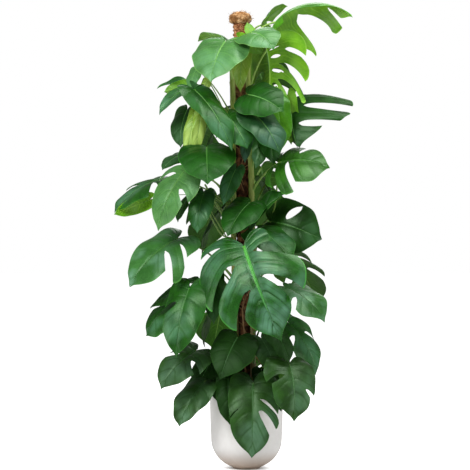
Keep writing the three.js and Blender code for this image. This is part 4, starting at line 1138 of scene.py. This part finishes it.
LEAVES = [
    # The crown
    leaf("top_right", "right", 1410, (90, -40, 1465), (345, -30, 1495), (0, 0.25, 0.95), 260,
         "vivid", arch=95, fold=-25, droop=50,
         cuts=([(0.12, 0.5, 0.55, 0.45, 0.76)], [(0.35, 0.36, 0.4, 0.34, 0.41),
               (0.3, 0.6, 0.69, 0.605, 0.8), (0.3, 0.84, 0.86, 0.89, 0.905)]),
         reach=([0.35, 0.5], [0.62, 1.35, 1.35, 1])),
    leaf("crown_front", "right", 1390, (15, -100, 1428), (85, -165, 1370), (0.1, -0.7, 0.7), 150,
         "young", arch=70),
    leaf("crown_front", "right", 1390, (-22, -92, 1408), (52, -118, 1362), (0.1, 0.95, 0.1), 50,
         "vivid", arch=30, stalk=2.0),
    leaf("crown_front", "right", 1390, (16, -84, 1424), (2, -66, 1464), (-0.1, 0.95, -0.2), 36,
         "vivid", stalk=2.0),
    leaf("crown_left", "left", 1270, (-70, -95, 1400), (-115, -200, 1265), (-0.2, -0.7, 0.7),
         190, "young"),
    leaf("crown_narrow", "right", 1310, (-5, -66, 1385), (-20, -95, 1240), (-0.4, -0.85, 0.35),
         66, "new"),
    leaf("right_lifted", "right", 1240, (65, -50, 1380), (65, -60, 1170), (0.57, 0.82, 0.1), 265,
         "lifted", fold=35, droop=15, sweep=0.08,
         cuts=([(0.5, 0.455, 0.49, 0.475, 0.505), (0.3, 0.59, 0.62, 0.64, 0.7),
               (0.28, 0.715, 0.745, 0.735, 0.795)], CUTS[2]),
         reach=([1.02, 1, 1.15, 1], []),
         holes=([(0, 0.93, 0.1, 0.26, 0.012), (1, 0.45, 0.08, 0.3, 0.018),
                 (2, 0.45, 0.08, 0.32, 0.02), (3, 0.16, 0.08, 0.26, 0.016)], [])),
    # Left, upper
    leaf("left_forked", "left", 1150, (-165, -50, 1315), (-180, -80, 1240), (-0.5, -0.8, 0.2),
         55, "young", stalk=2.4),
    leaf("left_forked", "left", 1150, (-190, -60, 1250), (-283, -110, 1165), (-0.3, -0.5, 0.8),
         160, "grown", fold=28, droop=20, cuts=([(0.25, 0.46, 0.58, 0.64, 0.86)], CUTS[1]),
         reach=([1, 0.6], [])),
    leaf("left_forked", "left", 1150, (-198, -48, 1262), (-268, -68, 1238), (0.05, 0.95, 0.15), 42,
         "vivid", stalk=1.6),
    leaf("left_long", "left", 1090, (-170, -145, 1240), (-50, -225, 1045), (0.3, -0.7, 0.6), 110,
         "grown"),
    leaf("left_lime", "left", 1050, (-195, -40, 1182), (-215, -75, 1060), (-0.5, -0.7, 0.4), 105,
         "old", stalk=2.8),
    leaf("left_lime", "left", 1050, (-160, -80, 1185), (-196, -88, 1012), (-0.2, -0.9, 0.2), 52,
         "new", stalk=2.4),
    leaf("left_lime", "left", 1050, (-146, -100, 1178), (-170, -112, 1030), (0.15, -0.95, 0.2), 46,
         "new", stalk=2.0),
    leaf("left_lime", "left", 1080, (-128, -70, 1278), (-142, -84, 1222), (-0.3, -0.9, 0.2), 36,
         "new", stalk=2.0),
    # Right, upper
    leaf("mid_right_dark", "right", 1120, (5, -125, 1225), (115, -165, 1170), (0.1, -0.8, 0.6),
         165, "rich"),
    leaf("mid_right_blue", "right", 1040, (20, -130, 1165), (105, -190, 1035), (0.4, -0.75, 0.5),
         140, "dusky"),
    leaf("mid_right_blue", "right", 1040, (96, -70, 1215), (112, -95, 1050), (0.2, -0.9, 0.3), 92,
         "vivid", stalk=2.6),
    leaf("mid_right_blue", "right", 1040, (62, -58, 1118), (88, -78, 1004), (0.3, -0.9, 0.3), 82,
         "rich", stalk=2.4),
    leaf("mid_right_blue", "right", 1040, (134, -30, 1222), (146, -52, 1070), (0.1, 0.95, 0.2), 66,
         "vivid", stalk=2.4),
    leaf("mid_centre", "left", 1010, (-60, -140, 1155), (0, -195, 1050), (0.1, -0.8, 0.5), 115,
         "grown"),
    leaf("mid_hanging", "right", 985, (8, -72, 1120), (-6, -96, 1008), (-0.2, -0.9, 0.3), 46,
         "dusky", stalk=2.2),
    leaf("mid_hanging", "right", 970, (45, -60, 1100), (30, -90, 990), (0.5, -0.8, 0.3), 65,
         "soft", stalk=2.6),
    leaf("right_fingers", "right", 1080, (160, 20, 1225), (165, -80, 1060), (-0.72, -0.69, 0),
         390, "old", fold=-33, droop=15,
         cuts=([], [(0.3, 0.14, 0.16, 0.24, 0.26), (0.2, 0.54, 0.6, 0.48, 0.6),
               (0.22, 0.77, 0.82, 0.735, 0.8)]),
         reach=([0.6], [0.4, 1.06, 1.08, 0.95])),
    leaf("right_slots", "right", 910, (108, -88, 1007), (265, -133, 992), (0, -0.6, 0.8), 240,
         "fresh",
         cuts=([(0.14, 0.34, 0.39, 0.36, 0.43), (0.12, 0.55, 0.59, 0.575, 0.625)], CUTS[2]),
         reach=([1.2, 1.25, 1.12], [0.6, 0.7, 0.8])),
    # Left, middle
    leaf("front_heart", "left", 930, (-130, -135, 1055), (-125, -265, 935), (0, -0.65, 0.75),
         190, "rich"),
    leaf("far_left", "left", 856, (-215, -15, 1035), (-275, -50, 985), (-0.3, -0.5, 0.8), 80,
         "old", stalk=2.4),
    leaf("far_left", "left", 856, (-275, -20, 955), (-430, -75, 850), (-0.5, -0.35, 0.8), 182,
         "grown", cuts=(CUTS[3], [(0.4, 0.4, 0.43, 0.38, 0.45), (0.3, 0.56, 0.6, 0.54, 0.62)]),
         reach=([1.1, 1, 1, 0.9], [0.9, 0.95, 1.15])),
    leaf("far_left", "left", 856, (-318, -88, 884), (-428, -104, 838), (0.05, 0.95, 0.1), 62,
         "vivid", stalk=1.4, fold=2),
    leaf("left_diamond", "left", 880, (-195, -125, 985), (-285, -180, 790), (-0.4, -0.7, 0.5),
         175, "young",
         cuts=([(0.3, 0.33, 0.38, 0.3, 0.42), (0.3, 0.5, 0.54, 0.52, 0.58)], CUTS[2]),
         reach=([0.8, 1, 0.85], [1, 1, 1])),
    leaf("left_hanging", "left", 790, (-175, -60, 910), (-225, -80, 815), (-0.8, -0.5, 0.3), 80,
         "old", stalk=2.6, cuts=(CUTS[1], CUTS[1])),
    leaf("left_hanging", "left", 790, (-140, -105, 905), (-160, -150, 780), (-0.2, -0.8, 0.5),
         85, "grown", stalk=2.8),
    leaf("centre_small", "left", 860, (-35, -115, 985), (-75, -160, 870), (-0.1, -0.9, 0.4), 66,
         "grown", stalk=2.8),
    leaf("left_shield", "left", 620, (-225, -90, 760), (-375, -160, 610), (-0.35, -0.65, 0.65),
         205, "soft",
         cuts=([], [(0.4, 0.475, 0.5, 0.48, 0.515), (0.3, 0.62, 0.655, 0.625, 0.67)]),
         reach=([0.9], [1, 1.35, 1.1])),
    # Centre and right, middle
    leaf("centre_dark", "left", 760, (10, -110, 875), (-60, -180, 770), (-0.2, -0.7, 0.6), 130,
         "rich"),
    leaf("right_upward", "right", 700, (10, -78, 800), (125, -115, 905), (-0.4, -0.7, 0.5), 104,
         "rich", reach=([0.4], [1.1])),
    leaf("right_arched", "right", 720, (78, -40, 815), (240, -90, 758), (0.1, -0.95, 0.25), 200,
         "old", arch=60,
         cuts=([(0.3, 0.24, 0.28, 0.22, 0.3), (0.5, 0.58, 0.61, 0.6, 0.63)], []),
         reach=([0.4, 1, 1.03], [0.97]), holes=([], [(0, 0.64, 0.2, 0.86, 0.04)])),
    leaf("right_front", "right", 640, (40, -110, 785), (140, -195, 690), (0.3, -0.7, 0.6), 150,
         "grown"),
    leaf("great", "left", 560, (-10, -215, 735), (103, -300, 446), (-0.25, -0.95, 0.2), 370,
         "broad", stalk=5, rib=0.6,
         cuts=([(0.5, 0.32, 0.345, 0.33, 0.385), (0.3, 0.515, 0.585, 0.625, 0.645),
               (0.24, 0.71, 0.745, 0.775, 0.795)], [(0.18, 0.475, 0.525, 0.475, 0.56),
               (0.18, 0.67, 0.695, 0.72, 0.785)]),
         reach=([1, 1.03, 1, 0.8], [0.5, 0.95, 0.8])),
    leaf("beside_great", "left", 590, (-108, -135, 660), (-106, -185, 490), (-0.1, -0.9, 0.3),
         75, "old"),
    leaf("right_square", "right", 500, (125, -80, 602), (250, -150, 495), (0.5, -0.6, 0.6), 200,
         "soft", cuts=(CUTS[2], [(0.3, 0.33, 0.43, 0.2, 0.42)]), reach=([], [0.5, 0.92])),
    # Low
    leaf("left_holes", "left", 500, (-165, -75, 622), (-310, -130, 538), (-0.3, -0.5, 0.8), 150,
         "old", arch=30, cuts=(CUTS[0], CUTS[2]), reach=([0.3], []),
         holes=([], [(0, 0.8, 0.2, 0.5, 0.02), (1, 0.5, 0.15, 0.5, 0.025), (2, 0.2, 0.1, 0.4, 0.02)])),
    leaf("left_front", "left", 490, (-185, -180, 600), (-225, -245, 390), (-0.3, -0.85, 0.4),
         150, "grown", lift=20, cuts=(CUTS[1], CUTS[0]), reach=([0.9, 0.95], [])),
    leaf("left_holes", "left", 500, (-235, -70, 555), (-325, -105, 447), (-0.5, -0.5, 0.7), 140,
         "lifted", stalk=3, cuts=(CUTS[1], CUTS[0]), reach=([0.8, 0.8], [1.35])),
    leaf("right_low", "right", 370, (138, -50, 482), (226, -80, 320), (0.5, -0.5, 0.7), 175,
         "lifted", cuts=(CUTS[1], CUTS[1]), reach=([], [1.2, 0.9])),
    leaf("right_inner", "right", 445, (85, -150, 468), (135, -190, 365), (0.3, -0.8, 0.5), 80,
         "deep", stalk=2.8),
    leaf("low_middle", "right", 340, (47, -112, 435), (100, -170, 318), (0.2, -0.8, 0.5), 122,
         "aged", reach=([0.85], [0.8])),
    leaf("low_right", "right", 310, (138, -175, 355), (150, -262, 187), (0.3, -0.8, 0.5), 182,
         "aged", cuts=([(0.35, 0.57, 0.61, 0.56, 0.61)], [(0.6, 0.69, 0.71, 0.69, 0.73)]),
         reach=([1, 0.97], [0.92, 0.9])),
    leaf("low_centre", "left", 350, (-30, -140, 440), (-85, -215, 315), (-0.1, -0.8, 0.5), 160,
         "deep", reach=([0.85], [])),
    leaf("low_centre", "left", 350, (-62, -78, 362), (-92, -104, 228), (-0.2, -0.9, 0.2), 112,
         "deep", stalk=2.6),
    leaf("low_left", "left", 290, (-112, -58, 362), (-162, -84, 262), (-0.3, -0.9, 0.2), 100,
         "deep", stalk=2.6),
    leaf("low_left", "left", 290, (-165, -105, 395), (-275, -160, 280), (-0.3, -0.6, 0.7), 180,
         "aged", cuts=(CUTS[1], CUTS[1]), reach=([0.85, 0.95], [])),
    leaf("low_left", "left", 290, (-135, -100, 295), (-215, -165, 160), (-0.3, -0.7, 0.6), 115,
         "aged", reach=([1.15], [])),
    leaf("pot_left", "left", 250, (-60, -128, 305), (-55, -172, 165), (-0.1, -0.9, 0.3), 85,
         "deep"),
    leaf("pot_front", "right", 265, (20, -165, 295), (15, -240, 70), (0, -0.9, 0.4), 185,
         "aged",
         cuts=([(0.62, 0.645, 0.65, 0.645, 0.66)], [(0.3, 0.585, 0.61, 0.605, 0.62),
               (0.28, 0.675, 0.72, 0.7, 0.77)]),
         reach=([0.87, 0.98], [0.95, 1.03, 1.03])),
    leaf("pot_front", "right", 265, (60, -105, 310), (110, -150, 205), (0.3, -0.8, 0.4), 90,
         "deep", stalk=2.8),
    leaf("pot_front", "right", 265, (48, -62, 330), (72, -84, 250), (0.1, -0.9, 0.3), 72,
         "deep", stalk=2.2),
    # The sides, behind the outermost leaves
    leaf("side_right_high", "right", 820, (62, 30, 940), (95, 50, 775), (0.8, 0.3, 0.4), 110,
         "old", cuts=(CUTS[1], CUTS[1])),
    leaf("side_right_middle", "right", 590, (75, 5, 765), (105, 5, 640), (0.9, 0.1, 0.4), 95,
         "grown", cuts=(CUTS[1], CUTS[1])),
    leaf("side_right_low", "right", 400, (80, 35, 520), (125, 55, 360), (0.9, 0.2, 0.4), 150,
         "deep"),
    leaf("side_left_high", "left", 1030, (-85, 27, 1150), (-130, 40, 990), (-0.9, 0.2, 0.4), 92,
         "deep", cuts=(CUTS[1], CUTS[1])),
    leaf("left_hanging", "left", 790, (-90, 15, 850), (-145, 25, 700), (-0.9, 0.1, 0.4), 125,
         "deep"),
    leaf("side_left_low", "left", 440, (-90, 32, 560), (-140, 45, 400), (-0.9, 0.2, 0.4), 120,
         "deep", cuts=(CUTS[1], CUTS[1])),
    # Back
    leaf("back_top_left", "back", 1290, (-60, 60, 1420), (-160, 110, 1425), (-0.3, 0.4, 0.85),
         120, "young", arch=60, cuts=(CUTS[1], CUTS[1])),
    leaf("back_top_right", "back", 1345, (55, 70, 1470), (135, 105, 1540), (-0.3, 0.4, 0.85),
         100, "young", lift=75, cuts=(CUTS[1], CUTS[1])),
    leaf("back_crown", "back", 1180, (40, 130, 1330), (100, 240, 1150), (0.1, 0.8, 0.5), 220,
         "grown", cuts=(CUTS[3], CUTS[3])),
    leaf("back_left", "back", 1020, (-100, 90, 1180), (-170, 200, 1000), (-0.5, 0.6, 0.6), 220,
         "grown", cuts=(CUTS[3], CUTS[3])),
    leaf("back_centre", "back", 850, (50, 120, 1000), (80, 250, 780), (0.1, 0.8, 0.5), 250,
         "old", cuts=(CUTS[3], CUTS[3]), reach=([0.4, 0.45, 0.55, 0.75], [])),
    leaf("back_dark", "back", 760, (-100, 80, 900), (-140, 170, 720), (-0.4, 0.7, 0.5), 200,
         "old", cuts=(CUTS[2], CUTS[2])),
    leaf("back_right", "back", 560, (130, 70, 700), (240, 150, 540), (0.5, 0.6, 0.6), 220,
         "grown", cuts=(CUTS[3], CUTS[3])),
    leaf("back_low", "back", 440, (-60, 130, 590), (-110, 250, 380), (-0.2, 0.8, 0.5), 240,
         "old", cuts=(CUTS[3], CUTS[3])),
    leaf("back_bottom", "back", 270, (70, 125, 370), (120, 200, 200), (0.3, 0.8, 0.5), 160,
         "grown", cuts=(CUTS[1], CUTS[1])),
]

# Long stalks that cross in the gaps, each to the leaf of its node: where it leaves its stem, the
# middle of its bend, its end under the blade, and its radius
LONG_STALKS = {
    "right_slots": [("right", 780, (85, -30, 840), (100, -74, 935), 2.8)],
    "left_hanging": [
        ("left", 760, (-85, -70, 775), (-132, -92, 862), 2.6),
        ("left", 735, (-70, -60, 770), (-118, -88, 850), 2.2)],
    "centre_small": [("left", 800, (-75, -75, 830), (-136, -96, 935), 3.2)],
    "right_arched": [("right", 800, (70, -70, 800), (118, -72, 790), 2.2)],
}

groups = {}
for row in LEAVES:
    groups.setdefault(row["node"], []).append(row)
for node, rows in groups.items():
    blades = [blade(f"{node}_blade", row, SKINS[row["age"]]) for row in rows]
    paths, ribs = (list(made) for made in zip(*[stalk_and_midrib(row) for row in rows]))
    for stem, z, bend, end, radius in LONG_STALKS.get(node, []):
        line = smooth_path([stem_point(stem, z), Vector(bend), Vector(end)], 8)
        paths.append([(point, radius) for point in line])
    stalks = tubes(f"{node}_stalks", paths)
    stalks.data.materials.append(stalk_skin)
    midribs = tubes(f"{node}_midribs", ribs)
    midribs.data.materials.append(bright_rib if node == "great" else plain_rib)
    piece = join(f"{node}_leaf", blades + [stalks, midribs])
    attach(piece, "root")
    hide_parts(f"leaf_{node}")
